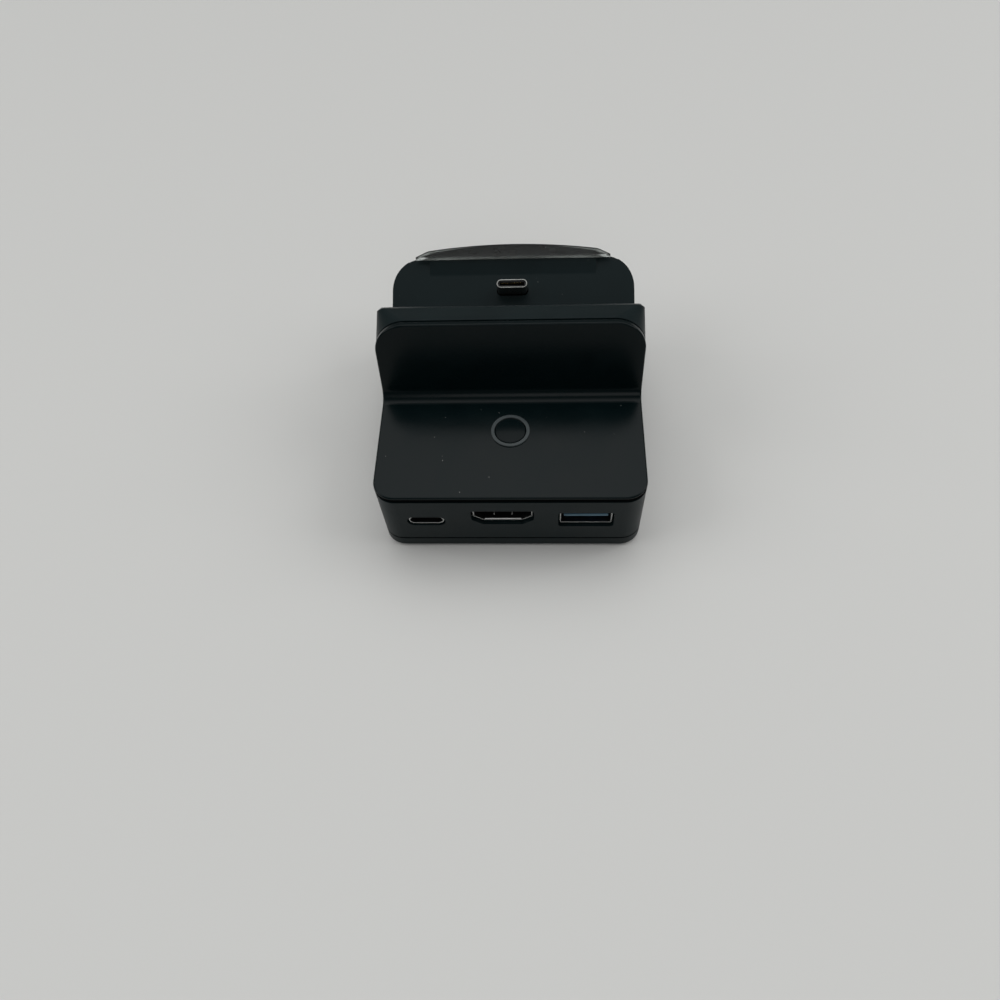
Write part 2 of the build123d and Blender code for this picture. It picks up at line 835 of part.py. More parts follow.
with BuildPart() as board_screws:
    with BuildSketch(Plane.XY.offset(board_top)):
        with Locations(*post_places):
            Circle(board_head_radius)
    extrude(amount=board_head_height)
    chamfer(board_screws.edges().group_by(Axis.Z)[-1], board_head_height / 4)
    with BuildSketch(Plane.XY.offset(board_top)):
        with Locations(*post_places):
            Circle(board_screw_radius)
    extrude(amount=-(board_shank_length + board_thickness - slip_fit))
board_screws.part.label = "board_screws"
export_step(board_screws.part, "parts/board_screws.step")


def leg_outline(x, width, recess, length):
    """Give the plan of two pairs of solder legs on the board, under the socket's sides."""
    half = (width - shell_sheet) / 2
    with BuildSketch(Plane.XY.offset(board_top), mode=Mode.PRIVATE) as legs:
        with Locations((x, from_port(recess + length / 2))):
            with GridLocations(2 * half, length / 3, 2, 2):
                Rectangle(shell_sheet, leg_length)
    return legs.sketch


# Power socket: an oval shell with a thin tongue in the middle
power_front = port_plane.offset(-power_recess)
power_inside = power_length - socket_back
with BuildPart() as power_socket_shell:
    extrude(
        socket_outline(power_front, power_x, power_z, power_width, power_height, power_height / 2 - slip_fit),
        amount=-power_length,
    )
    extrude(leg_outline(power_x, power_width, power_recess, power_length), amount=power_z - board_top)
    extrude(
        socket_outline(
            power_front,
            power_x,
            power_z,
            power_width - 2 * shell_sheet,
            power_height - 2 * shell_sheet,
            power_height / 2 - shell_sheet - slip_fit,
        ),
        amount=-power_length,
        mode=Mode.SUBTRACT,
    )
power_socket_shell.part.label = "power_socket_shell"
export_step(power_socket_shell.part, "parts/power_socket_shell.step")

with BuildPart() as power_socket_tongue:
    extrude(
        socket_outline(
            power_front.offset(-power_inside),
            power_x,
            power_z,
            power_width - 2 * shell_sheet,
            power_height - 2 * shell_sheet,
            power_height / 2 - shell_sheet - slip_fit,
        ),
        amount=-socket_back,
    )
    with BuildSketch(power_front.offset(-power_inside)):
        with Locations((power_x, power_z)):
            Rectangle(power_tongue_width, power_tongue_height)
    extrude(amount=power_inside - tongue_setback)
power_socket_tongue.part.label = "power_socket_tongue"
export_step(power_socket_tongue.part, "parts/power_socket_tongue.step")

# Video socket: cut lower corners, a tongue in the middle and two spring tabs in the roof
video_front = port_plane.offset(-video_recess)
video_inside = video_length - socket_back
with BuildPart() as video_socket_shell:
    extrude(video_outline(video_front, 0), amount=-video_length)
    extrude(leg_outline(video_x, video_width, video_recess, video_length), amount=video_z - board_top)
    extrude(video_outline(video_front, -shell_sheet), amount=-video_length, mode=Mode.SUBTRACT)
    with BuildSketch(video_front.offset(-tongue_setback)):
        with Locations((video_x, video_z + video_height / 2 - shell_sheet)):
            with GridLocations(video_tab_spacing, 0, 2, 1):
                Rectangle(video_tab_width, video_tab_drop, align=(Align.CENTER, Align.MAX))
    extrude(amount=-shell_sheet)
video_socket_shell.part.label = "video_socket_shell"
export_step(video_socket_shell.part, "parts/video_socket_shell.step")

with BuildPart() as video_socket_tongue:
    extrude(video_outline(video_front.offset(-video_inside), -shell_sheet), amount=-socket_back)
    with BuildSketch(video_front.offset(-video_inside)):
        with Locations((video_x, video_z - video_tongue_drop)):
            Rectangle(video_tongue_width, video_tongue_height)
    extrude(amount=video_inside - 2 * tongue_setback)
video_socket_tongue.part.label = "video_socket_tongue"
export_step(video_socket_tongue.part, "parts/video_socket_tongue.step")

with BuildPart() as video_socket_contacts:
    top_side = video_z - video_tongue_drop + video_tongue_height / 2
    with BuildSketch(video_front.offset(-video_inside)):
        with Locations((video_x, top_side + contact_thickness / 2)):
            with GridLocations(video_contact_pitch, 0, video_contact_count, 1):
                Rectangle(contact_width, contact_thickness)
    extrude(amount=video_inside - 2 * tongue_setback - contact_width)
video_socket_contacts.part.label = "video_socket_contacts"
export_step(video_socket_contacts.part, "parts/video_socket_contacts.step")

# Data socket: an oblong shell with a blue tongue under its roof
data_front = port_plane.offset(-data_recess)
data_inside = data_length - socket_back
with BuildPart() as data_socket_shell:
    extrude(
        socket_outline(data_front, data_x, data_z, data_width, data_height, socket_corner),
        amount=-data_length,
    )
    extrude(leg_outline(data_x, data_width, data_recess, data_length), amount=data_z - board_top)
    extrude(
        socket_outline(
            data_front,
            data_x,
            data_z,
            data_width - 2 * shell_sheet,
            data_height - 2 * shell_sheet,
            socket_corner - shell_sheet / 2,
        ),
        amount=-data_length,
        mode=Mode.SUBTRACT,
    )
data_socket_shell.part.label = "data_socket_shell"
export_step(data_socket_shell.part, "parts/data_socket_shell.step")

with BuildPart() as data_socket_tongue:
    extrude(
        socket_outline(
            data_front.offset(-data_inside),
            data_x,
            data_z,
            data_width - 2 * shell_sheet,
            data_height - 2 * shell_sheet,
            socket_corner - shell_sheet / 2,
        ),
        amount=-socket_back,
    )
    with BuildSketch(data_front.offset(-data_inside)):
        with Locations((data_x, data_z + data_tongue_lift)):
            Rectangle(data_tongue_width, data_tongue_height)
    extrude(amount=data_inside - tongue_setback / 2)
    chamfer(data_socket_tongue.faces().sort_by(Axis.Y)[0].edges().filter_by(Axis.X), edge_round)
data_socket_tongue.part.label = "data_socket_tongue"
export_step(data_socket_tongue.part, "parts/data_socket_tongue.step")

with BuildPart() as data_socket_contacts:
    under_side = data_z + data_tongue_lift - data_tongue_height / 2
    with BuildSketch(data_front.offset(-data_inside)):
        with Locations((data_x, under_side - contact_thickness / 2)):
            with GridLocations(data_contact_pitch, 0, data_contact_count, 1):
                Rectangle(2 * contact_width, contact_thickness)
    extrude(amount=data_inside - 2 * tongue_setback)
data_socket_contacts.part.label = "data_socket_contacts"
export_step(data_socket_contacts.part, "parts/data_socket_contacts.step")

# Console plug: an oval tube that leans with the console, with its insulating core inside
plug_end_corner = plug_height / 2 - slip_fit / 2
plug_tip_plane = tray_plane.offset(plug_reach)
with BuildPart() as console_plug_shell:
    extrude(
        socket_outline(plug_tip_plane, 0, 0, plug_width, plug_height, plug_end_corner),
        amount=-(plug_reach + plug_tail),
    )
    fillet(
        console_plug_shell.faces().sort_by_distance(plug_tip_plane.origin)[0].outer_wire().edges(),
        plug_sheet / 2,
    )
    extrude(
        socket_outline(
            plug_tip_plane,
            0,
            0,
            plug_width - 2 * plug_sheet,
            plug_height - 2 * plug_sheet,
            plug_end_corner - plug_sheet,
        ),
        amount=-(plug_reach + plug_tail),
        mode=Mode.SUBTRACT,
    )
console_plug_shell.part.label = "console_plug_shell"
export_step(console_plug_shell.part, "parts/console_plug_shell.step")

with BuildPart() as console_plug_core:
    extrude(
        socket_outline(
            plug_tip_plane.offset(-plug_core_setback),
            0,
            0,
            plug_width - 2 * plug_sheet,
            plug_height - 2 * plug_sheet,
            plug_end_corner - plug_sheet,
        ),
        amount=-(plug_reach - plug_core_setback + plug_board_drop),
    )
    with BuildSketch(plug_tip_plane.offset(-plug_core_setback)):
        Rectangle(plug_mouth_width, plug_mouth_height)
    extrude(amount=-plug_mouth_depth, mode=Mode.SUBTRACT)
console_plug_core.part.label = "console_plug_core"
export_step(console_plug_core.part, "parts/console_plug_core.step")

# Plug sleeve: the block under the tray that holds the plug
with BuildPart() as plug_sleeve:
    extrude(
        socket_outline(
            tray_plane.offset(-tray_thickness),
            0,
            0,
            sleeve_block_width,
            sleeve_block_height,
            sleeve_block_corner,
        ),
        amount=-(sleeve_block_depth - tray_thickness),
    )
    extrude(
        socket_outline(
            tray_plane,
            0,
            0,
            plug_width + slip_fit,
            plug_height + slip_fit,
            plug_end_corner + slip_fit / 2,
        ),
        amount=-sleeve_block_depth,
        mode=Mode.SUBTRACT,
    )
plug_sleeve.part.label = "plug_sleeve"
export_step(plug_sleeve.part, "parts/plug_sleeve.step")

# Plug board: stands behind the plug's tail, screwed to the cradle's pads
with BuildPart() as plug_board:
    with BuildSketch(plug_plane.offset(-plug_board_thickness / 2)):
        with Locations((0, -plug_board_drop)):
            Rectangle(plug_board_width, plug_board_length, align=(Align.CENTER, Align.MAX))
        with Locations((-rib_x, -plug_screw_drop), (rib_x, -plug_screw_drop)):
            Circle(board_screw_radius + head_clearance, mode=Mode.SUBTRACT)
    extrude(amount=plug_board_thickness)
plug_board.part.label = "plug_board"
export_step(plug_board.part, "parts/plug_board.step")

with BuildPart() as plug_board_screws:
    with BuildSketch(plug_plane.offset(-plug_board_thickness / 2)):
        with Locations((-rib_x, -plug_screw_drop), (rib_x, -plug_screw_drop)):
            Circle(board_head_radius)
    extrude(amount=-board_head_height)
    with BuildSketch(plug_plane.offset(-plug_board_thickness / 2)):
        with Locations((-rib_x, -plug_screw_drop), (rib_x, -plug_screw_drop)):
            Circle(board_screw_radius)
    extrude(amount=plug_board_thickness + rib_depth)
plug_board_screws.part.label = "plug_board_screws"
export_step(plug_board_screws.part, "parts/plug_board_screws.step")

# Ribbon and its two sockets
ribbon_height = board_top + ribbon_socket_height / 2
board_socket_rear = board_rear - slip_fit
plug_socket_end = plug_board_drop + plug_board_length - slip_fit
ribbon_start = plug_plane.from_local_coords(
    (0, -plug_socket_end, plug_board_thickness / 2 + ribbon_socket_height / 2)
)
ribbon_drop = ribbon_start.Z - ribbon_height
ribbon_lead = ribbon_drop * ribbon_lead_share
with BuildPart() as ribbon_cable:
    with BuildSketch(Plane.YZ):
        with BuildLine():
            FilletPolyline(
                (ribbon_start.Y, ribbon_start.Z),
                (ribbon_start.Y + ribbon_lead * lean_slope, ribbon_start.Z - ribbon_lead),
                (ribbon_start.Y + ribbon_lead * lean_slope, ribbon_height),
                (from_port(board_socket_rear), ribbon_height),
                radius=ribbon_drop * ribbon_bend_share,
            )
        trace(line_width=ribbon_thickness)
    extrude(amount=ribbon_width / 2, both=True)
ribbon_cable.part.label = "ribbon_cable"
export_step(ribbon_cable.part, "parts/ribbon_cable.step")

with BuildPart() as board_ribbon_socket:
    with BuildSketch(Plane.XY.offset(board_top)):
        with Locations((0, from_port(board_socket_rear))):
            Rectangle(ribbon_socket_width, ribbon_socket_length, align=(Align.CENTER, Align.MAX))
    extrude(amount=ribbon_socket_height)
board_ribbon_socket.part.label = "board_ribbon_socket"
export_step(board_ribbon_socket.part, "parts/board_ribbon_socket.step")

with BuildPart() as plug_ribbon_socket:
    with BuildSketch(plug_plane.offset(plug_board_thickness / 2)):
        with Locations((0, -plug_socket_end)):
            Rectangle(ribbon_socket_width, ribbon_socket_length, align=(Align.CENTER, Align.MIN))
    extrude(amount=ribbon_socket_height)
plug_ribbon_socket.part.label = "plug_ribbon_socket"
export_step(plug_ribbon_socket.part, "parts/plug_ribbon_socket.step")

# Board components: the video and power chips, a choke coil and three capacitors
with BuildPart() as video_chip:
    with BuildSketch(Plane.XY.offset(board_top)):
        with Locations((video_chip_x, from_port(video_chip_distance))):
            Rectangle(video_chip_side, video_chip_side)
    extrude(amount=chip_height)
    chamfer(video_chip.edges().group_by(Axis.Z)[-1], ring_round)
video_chip.part.label = "video_chip"
export_step(video_chip.part, "parts/video_chip.step")

with BuildPart() as power_chip:
    with BuildSketch(Plane.XY.offset(board_top)):
        with Locations((power_chip_x, from_port(power_chip_distance))):
            Rectangle(power_chip_side, power_chip_side)
    extrude(amount=chip_height)
    chamfer(power_chip.edges().group_by(Axis.Z)[-1], ring_round)
power_chip.part.label = "power_chip"
export_step(power_chip.part, "parts/power_chip.step")

with BuildPart() as choke_coil:
    with BuildSketch(Plane.XY.offset(board_top)) as coil_body:
        with Locations((coil_x, from_port(coil_distance))):
            Rectangle(coil_side, coil_side)
        chamfer(coil_body.vertices(), coil_side / 6)
    extrude(amount=coil_height)
choke_coil.part.label = "choke_coil"
export_step(choke_coil.part, "parts/choke_coil.step")

with BuildPart() as board_capacitors:
    with BuildSketch(Plane.XY.offset(board_top)):
        with Locations((capacitor_x, from_port(capacitor_distance))):
            with GridLocations(capacitor_spacing, 0, capacitor_count, 1):
                Circle(capacitor_radius)
    extrude(amount=capacitor_height)
    fillet(board_capacitors.edges().group_by(Axis.Z)[-1], edge_round)
board_capacitors.part.label = "board_capacitors"
export_step(board_capacitors.part, "parts/board_capacitors.step")
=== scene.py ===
"""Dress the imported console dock: finishes, fine hardware, studio floor, light and camera."""

import logging
import math
from collections.abc import Callable, Iterable
from dataclasses import dataclass
from enum import Enum

import bmesh
import bpy
from mathutils import Matrix, Vector


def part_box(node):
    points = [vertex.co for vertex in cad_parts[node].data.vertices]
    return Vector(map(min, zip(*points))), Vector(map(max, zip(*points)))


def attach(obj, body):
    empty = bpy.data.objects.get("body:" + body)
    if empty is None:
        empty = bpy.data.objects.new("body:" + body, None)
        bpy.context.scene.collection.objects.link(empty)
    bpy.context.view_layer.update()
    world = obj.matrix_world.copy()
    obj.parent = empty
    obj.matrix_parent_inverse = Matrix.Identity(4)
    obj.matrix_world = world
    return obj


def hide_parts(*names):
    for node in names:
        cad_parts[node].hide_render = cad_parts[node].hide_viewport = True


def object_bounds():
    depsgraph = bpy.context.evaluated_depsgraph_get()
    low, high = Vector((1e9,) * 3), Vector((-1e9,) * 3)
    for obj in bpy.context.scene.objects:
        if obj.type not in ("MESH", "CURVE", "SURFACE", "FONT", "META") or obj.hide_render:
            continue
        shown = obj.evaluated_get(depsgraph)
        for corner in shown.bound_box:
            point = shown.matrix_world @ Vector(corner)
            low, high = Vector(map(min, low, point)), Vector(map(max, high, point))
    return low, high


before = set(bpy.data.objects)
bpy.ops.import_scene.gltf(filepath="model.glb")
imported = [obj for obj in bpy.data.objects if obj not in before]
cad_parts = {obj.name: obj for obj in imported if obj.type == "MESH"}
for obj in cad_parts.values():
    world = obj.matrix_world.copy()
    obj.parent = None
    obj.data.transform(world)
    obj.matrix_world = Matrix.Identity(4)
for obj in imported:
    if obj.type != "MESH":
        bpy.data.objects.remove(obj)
CAD_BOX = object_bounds()
DOCK_BODY = "dock"
BUTTON_BODY = "button"
MERGE_DISTANCE = 1e-7
LEVEL_TOLERANCE = 0.00001
SMOOTH_ANGLE = math.radians(32)
FULL_TURN = 2 * math.pi
UNIT_SPAN = (0.0, 1.0)
MOTTLE_SPAN = (0.3, 0.7)
DUST_COLOUR = (0.42, 0.41, 0.39)

Triple = tuple[float, float, float]
Colour = Triple
Span = tuple[float, float]
Socket = bpy.types.NodeSocket
Node = bpy.types.Node
Outputs = bpy.types.bpy_prop_collection
Material = bpy.types.Material
Mesh = bmesh.types.BMesh
Vertices = list[bmesh.types.BMVert]
log = logging.getLogger("console_dock")


class SurfaceGroup(Enum):
    """Names of the shader groups that the finishes share."""

    MOULDED_GRAIN = "moulded grain"
    EDGE_WEAR_AND_HIGHLIGHT = "edge wear"
    SETTLED_DUST = "settled dust"
    DRAWN_LINES = "drawn lines"


class Eased(Enum):
    """What a bevel works on."""

    EDGES = "EDGES"
    CORNERS = "VERTICES"


def rgba(colour: Colour) -> tuple[float, float, float, float]:
    """Give the colour with full alpha."""
    return (*colour, 1.0)


class NodeBench:
    """Places and joins nodes in one node tree."""

    def __init__(self, tree: bpy.types.NodeTree) -> None:
        """Keep the tree and drop the nodes it starts with.

        Args:
            tree: The material's or group's node tree.
        """
        self.tree = tree
        tree.nodes.clear()

    def add(self, kind: str, **settings: object) -> Node:
        """Place a node and set its properties.

        Args:
            kind: The node's type name.
            settings: Properties of the node, by name.

        Returns:
            The new node.
        """
        node = self.tree.nodes.new(kind)
        for name, value in settings.items():
            setattr(node, name, value)
        return node

    def join(self, source: object, target: Socket) -> None:
        """Link an output to an input, or give the input a plain value."""
        if isinstance(source, Socket):
            self.tree.links.new(source, target)
        else:
            target.default_value = source

    def feed(self, node: Node, inputs: dict[str, object]) -> None:
        """Join outputs or plain values to a node's inputs, by name."""
        for name, value in inputs.items():
            self.join(value, node.inputs[name])

    def math(self, operation: str, first: object, second: object) -> Socket:
        """Place a Math node whose inputs are sockets or numbers.

        Args:
            operation: The Math node's operation.
            first: An output socket or a number.
            second: An output socket or a number.

        Returns:
            The node's output.
        """
        node = self.add("ShaderNodeMath", operation=operation)
        for socket, value in zip(node.inputs, (first, second)):
            self.join(value, socket)
        return node.outputs[0]

    def ramp(self, value: Socket, source: Span, target: Span = UNIT_SPAN) -> Socket:
        """Map a value from one span to another, held at both ends.

        Args:
            value: The output to map.
            source: The span that the value comes in.
            target: The span that it leaves in.

        Returns:
            The mapped output.
        """
        node = self.add("ShaderNodeMapRange", clamp=True)
        self.join(value, node.inputs["Value"])
        node.inputs["From Min"].default_value, node.inputs["From Max"].default_value = source
        node.inputs["To Min"].default_value, node.inputs["To Max"].default_value = target
        return node.outputs["Result"]

    def blend(self, mask: Socket, under: object, over: object) -> Socket:
        """Mix two colours by a mask.

        Args:
            mask: The share of the upper colour.
            under: A colour, or the output that gives it.
            over: A colour, or the output that gives it.

        Returns:
            The mixed colour.
        """
        node = self.add("ShaderNodeMix", data_type="RGBA")
        colour_inputs = [socket for socket in node.inputs if socket.type == "RGBA"]
        for socket, value in zip(colour_inputs, (under, over)):
            self.join(value if isinstance(value, Socket) else rgba(value), socket)
        self.join(mask, node.inputs["Factor"])
        return next(socket for socket in node.outputs if socket.type == "RGBA")

    def axis(self, vector: Socket, name: str) -> Socket:
        """Give one axis of a vector, by its letter."""
        axes = self.add("ShaderNodeSeparateXYZ")
        self.join(vector, axes.inputs["Vector"])
        return axes.outputs[name]

    def noise(
        self,
        place: Socket,
        scale: Socket,
        detail: float,
        distortion: float = 0.0,
    ) -> Socket:
        """Place a noise texture.

        Args:
            place: The coordinates that it reads.
            scale: The output that gives its scale.
            detail: How many finer layers it has.
            distortion: How far it is warped.

        Returns:
            The noise's value.
        """
        node = self.add("ShaderNodeTexNoise")
        self.feed(node, {"Vector": place, "Scale": scale})
        self.feed(node, {"Detail": detail, "Distortion": distortion})
        return node.outputs["Fac"]

    def relief(
        self,
        height: Socket,
        depth: float,
        target: Socket,
        normal: Socket | None = None,
    ) -> None:
        """Raise a fine relief on a shader's normal.

        Args:
            height: The output that gives the relief.
            depth: How deep it is, in metres.
            target: The shader's normal input.
            normal: The normal that carries it, where that isn't the mesh's own.
        """
        bump = self.add("ShaderNodeBump")
        self.feed(bump, {"Distance": depth, "Height": height})
        if normal is not None:
            self.join(normal, bump.inputs["Normal"])
        self.join(bump.outputs["Normal"], target)


class SurfaceGroups:
    """Builds the shared shader groups once and places them in materials."""

    EDGE_SPAN: Span = (0.995, 0.86)
    PATCH_SPAN: Span = (0.42, 0.7)
    UPWARD_SPAN: Span = (0.5, 0.95)
    BARE_CELLS = 0.72
    LINE_STRETCH = (0.04, 1.0, 1.0)

    def __init__(self) -> None:
        """Start with no group built."""
        self.built: dict[SurfaceGroup, bpy.types.NodeTree] = {}
        self.makers: dict[SurfaceGroup, Callable[[], bpy.types.NodeTree]] = {
            SurfaceGroup.MOULDED_GRAIN: self.moulded_grain,
            SurfaceGroup.EDGE_WEAR_AND_HIGHLIGHT: self.edge_wear_and_highlight,
            SurfaceGroup.SETTLED_DUST: self.settled_dust,
            SurfaceGroup.DRAWN_LINES: self.drawn_lines,
        }

    def place(self, bench: NodeBench, group: SurfaceGroup, **values: float) -> Outputs:
        """Place a shared group in a material, fed with Object coordinates.

        Args:
            bench: The material's node bench.
            group: Which shared group to place.
            values: The group's number inputs, with underscores for spaces.

        Returns:
            The group's outputs, by name.
        """
        if group not in self.built:
            self.built[group] = self.makers[group]()
        node = bench.add("ShaderNodeGroup")
        node.node_tree = self.built[group]
        place = bench.add("ShaderNodeTexCoord")
        bench.join(place.outputs["Object"], node.inputs["Place"])
        for name, value in values.items():
            node.inputs[name.replace("_", " ").capitalize()].default_value = value
        return node.outputs

    @staticmethod
    def start(
        group: SurfaceGroup,
        inputs: Iterable[str],
        outputs: Iterable[str],
    ) -> tuple[NodeBench, Outputs, Node]:
        """Open a group with a Place vector, number inputs and value outputs.

        Args:
            group: The group's name.
            inputs: Names of the number inputs.
            outputs: Names of the outputs; one named Normal is a vector.

        Returns:
            The node bench, what the group is given, and the node that takes its results.
        """
        tree = bpy.data.node_groups.new(group.value, "ShaderNodeTree")
        tree.interface.new_socket("Place", in_out="INPUT", socket_type="NodeSocketVector")
        for name in inputs:
            tree.interface.new_socket(name, in_out="INPUT", socket_type="NodeSocketFloat")
        for name in outputs:
            kind = "NodeSocketVector" if name == "Normal" else "NodeSocketFloat"
            tree.interface.new_socket(name, in_out="OUTPUT", socket_type=kind)
        bench = NodeBench(tree)
        return bench, bench.add("NodeGroupInput").outputs, bench.add("NodeGroupOutput")

    @classmethod
    def moulded_grain(cls) -> bpy.types.NodeTree:
        """Give the spark-eroded grain of a mould and the slow mottle of its gloss."""
        bench, taken, given = cls.start(
            SurfaceGroup.MOULDED_GRAIN,
            ("Grain scale", "Mottle scale"),
            ("Height", "Mottle"),
        )
        place = taken["Place"]
        grain = bench.noise(place, taken["Grain scale"], 3.0)
        mottle = bench.noise(place, taken["Mottle scale"], 5.0, 0.6)
        bench.feed(given, {"Height": grain, "Mottle": mottle})
        return bench.tree

    @classmethod
    def edge_wear_and_highlight(cls) -> bpy.types.NodeTree:
        """Give softened edges and a broken mask of where they are rubbed, also used to place
        painted highlight on edges.
        """
        bench, taken, given = cls.start(
            SurfaceGroup.EDGE_WEAR_AND_HIGHLIGHT,
            ("Edge radius", "Break scale"),
            ("Mask", "Normal"),
        )
        softened = bench.add("ShaderNodeBevel", samples=6)
        bench.join(taken["Edge radius"], softened.inputs["Radius"])
        surface = bench.add("ShaderNodeNewGeometry")
        likeness = bench.add("ShaderNodeVectorMath", operation="DOT_PRODUCT")
        bench.join(softened.outputs["Normal"], likeness.inputs[0])
        bench.join(surface.outputs["Normal"], likeness.inputs[1])
        edge = bench.ramp(likeness.outputs["Value"], cls.EDGE_SPAN)
        broken = bench.noise(taken["Place"], taken["Break scale"], 4.0)
        patches = bench.ramp(broken, cls.PATCH_SPAN)
        mask = bench.math("MULTIPLY", edge, patches)
        bench.feed(given, {"Mask": mask, "Normal": softened.outputs["Normal"]})
        return bench.tree

    @classmethod
    def settled_dust(cls) -> bpy.types.NodeTree:
        """Give specks and lint that lie on upward faces."""
        bench, taken, given = cls.start(
            SurfaceGroup.SETTLED_DUST,
            ("Speck scale", "Speck size"),
            ("Mask",),
        )
        cells = bench.add("ShaderNodeTexVoronoi", feature="F1")
        bench.feed(cells, {"Vector": taken["Place"], "Scale": taken["Speck scale"]})
        near = bench.math("LESS_THAN", cells.outputs["Distance"], taken["Speck size"])
        chosen = bench.add("ShaderNodeSeparateColor")
        bench.join(cells.outputs["Color"], chosen.inputs["Color"])
        kept = bench.math("GREATER_THAN", chosen.outputs["Red"], cls.BARE_CELLS)
        strength = bench.math("MULTIPLY", kept, chosen.outputs["Green"])
        surface = bench.add("ShaderNodeNewGeometry")
        rise = bench.axis(surface.outputs["Normal"], "Z")
        upward = bench.ramp(rise, cls.UPWARD_SPAN)
        mask = bench.math("MULTIPLY", bench.math("MULTIPLY", near, strength), upward)
        bench.join(mask, given.inputs["Mask"])
        return bench.tree

    @classmethod
    def drawn_lines(cls) -> bpy.types.NodeTree:
        """Give the fine lines of drawn sheet metal and their slow stain."""
        bench, taken, given = cls.start(
            SurfaceGroup.DRAWN_LINES,
            ("Line scale", "Stain scale"),
            ("Height", "Stain"),
        )
        stretch = bench.add("ShaderNodeVectorMath", operation="MULTIPLY")
        stretch.inputs[1].default_value = cls.LINE_STRETCH
        bench.join(taken["Place"], stretch.inputs[0])
        lines = bench.noise(stretch.outputs["Vector"], taken["Line scale"], 4.0)
        stain = bench.noise(taken["Place"], taken["Stain scale"], 2.0)
        bench.feed(given, {"Height": lines, "Stain": stain})
        return bench.tree


GROUPS = SurfaceGroups()


def opened(name: str) -> tuple[Material, NodeBench, Node]:
    """Start a material with one Principled shader.

    Args:
        name: The material's name.

    Returns:
        The material, its node bench and the shader.
    """
    material = bpy.data.materials.new(name)
    material.use_nodes = True
    bench = NodeBench(material.node_tree)
    shader = bench.add("ShaderNodeBsdfPrincipled")
    result = bench.add("ShaderNodeOutputMaterial")
    bench.join(shader.outputs["BSDF"], result.inputs["Surface"])
    return material, bench, shader


@dataclass(frozen=True)
class MouldedFinish:
    """A moulded plastic, rubber or resin with grain, paler edges and settled dust; the paler edges
    are rubbed wear, and on the blue insulator also painted highlight.

    Sizes are in metres, and the gloss runs between two roughness values.
    """

    name: str
    colour: Colour
    worn_and_highlight_colour: Colour
    gloss: Span
    grain_size: float = 0.00012
    grain_depth: float = 0.000004
    mottle_size: float = 0.012
    edge_radius: float = 0.0001
    wear_and_highlight: float = 0.5
    dust: float = 0.0
    refraction: float = 1.22
    mottle_gain: float = 1.25
    breaks_per_mottle: float = 8.0
    speck_scale: float = 420.0
    speck_size: float = 0.052

    def material(self) -> Material:
        """Build the finish.

        Returns:
            The material.
        """
        material, bench, shader = opened(self.name)
        shader.inputs["IOR"].default_value = self.refraction
        grain = GROUPS.place(
            bench,
            SurfaceGroup.MOULDED_GRAIN,
            grain_scale=1 / self.grain_size,
            mottle_scale=1 / self.mottle_size,
        )
        edges = GROUPS.place(
            bench,
            SurfaceGroup.EDGE_WEAR_AND_HIGHLIGHT,
            edge_radius=self.edge_radius,
            break_scale=self.breaks_per_mottle / self.mottle_size,
        )
        # Paler edges: rubbed wear, and painted highlight on the blue insulator.
        worn_and_highlit = bench.math("MULTIPLY", edges["Mask"], self.wear_and_highlight)
        tint = bench.blend(
            bench.ramp(grain["Mottle"], MOTTLE_SPAN),
            self.colour,
            tuple(self.mottle_gain * value for value in self.colour),
        )
        colour = bench.blend(worn_and_highlit, tint, self.worn_and_highlight_colour)
        roughness = bench.ramp(grain["Mottle"], MOTTLE_SPAN, self.gloss)
        if self.dust:
            specks = GROUPS.place(
                bench,
                SurfaceGroup.SETTLED_DUST,
                speck_scale=self.speck_scale,
                speck_size=self.speck_size,
            )
            dusted = bench.math("MULTIPLY", specks["Mask"], self.dust)
            colour = bench.blend(dusted, colour, DUST_COLOUR)
            roughness = bench.math("ADD", roughness, dusted)
        bench.feed(shader, {"Base Color": colour, "Roughness": roughness})
        bench.relief(
            grain["Height"],
            self.grain_depth,
            shader.inputs["Normal"],
            edges["Normal"],
        )
        return material


@dataclass(frozen=True)
class MetalFinish:
    """Plated sheet metal with drawing lines, a slow stain and bright edges."""

    name: str
    colour: Colour
    stain_colour: Colour
    gloss: Span
    line_size: float = 0.00008
    line_depth: float = 0.0000015
    stain_size: float = 0.003
    stain_span: Span = (0.45, 0.75)
    edge_radius: float = 0.00008

    def material(self) -> Material:
        """Build the finish.

        Returns:
            The material.
        """
        material, bench, shader = opened(self.name)
        shader.inputs["Metallic"].default_value = 1.0
        lines = GROUPS.place(
            bench,
            SurfaceGroup.DRAWN_LINES,
            line_scale=1 / self.line_size,
            stain_scale=1 / self.stain_size,
        )
        edges = GROUPS.place(
            bench,
            SurfaceGroup.EDGE_WEAR_AND_HIGHLIGHT,
            edge_radius=self.edge_radius,
            break_scale=1 / self.stain_size,
        )
        stain = bench.ramp(lines["Stain"], self.stain_span)
        colour = bench.blend(stain, self.colour, self.stain_colour)
        roughness = bench.ramp(lines["Stain"], MOTTLE_SPAN, self.gloss)
        bench.feed(shader, {"Base Color": colour, "Roughness": roughness})
        bench.relief(
            lines["Height"],
            self.line_depth,
            shader.inputs["Normal"],
            edges["Normal"],
        )
        return material


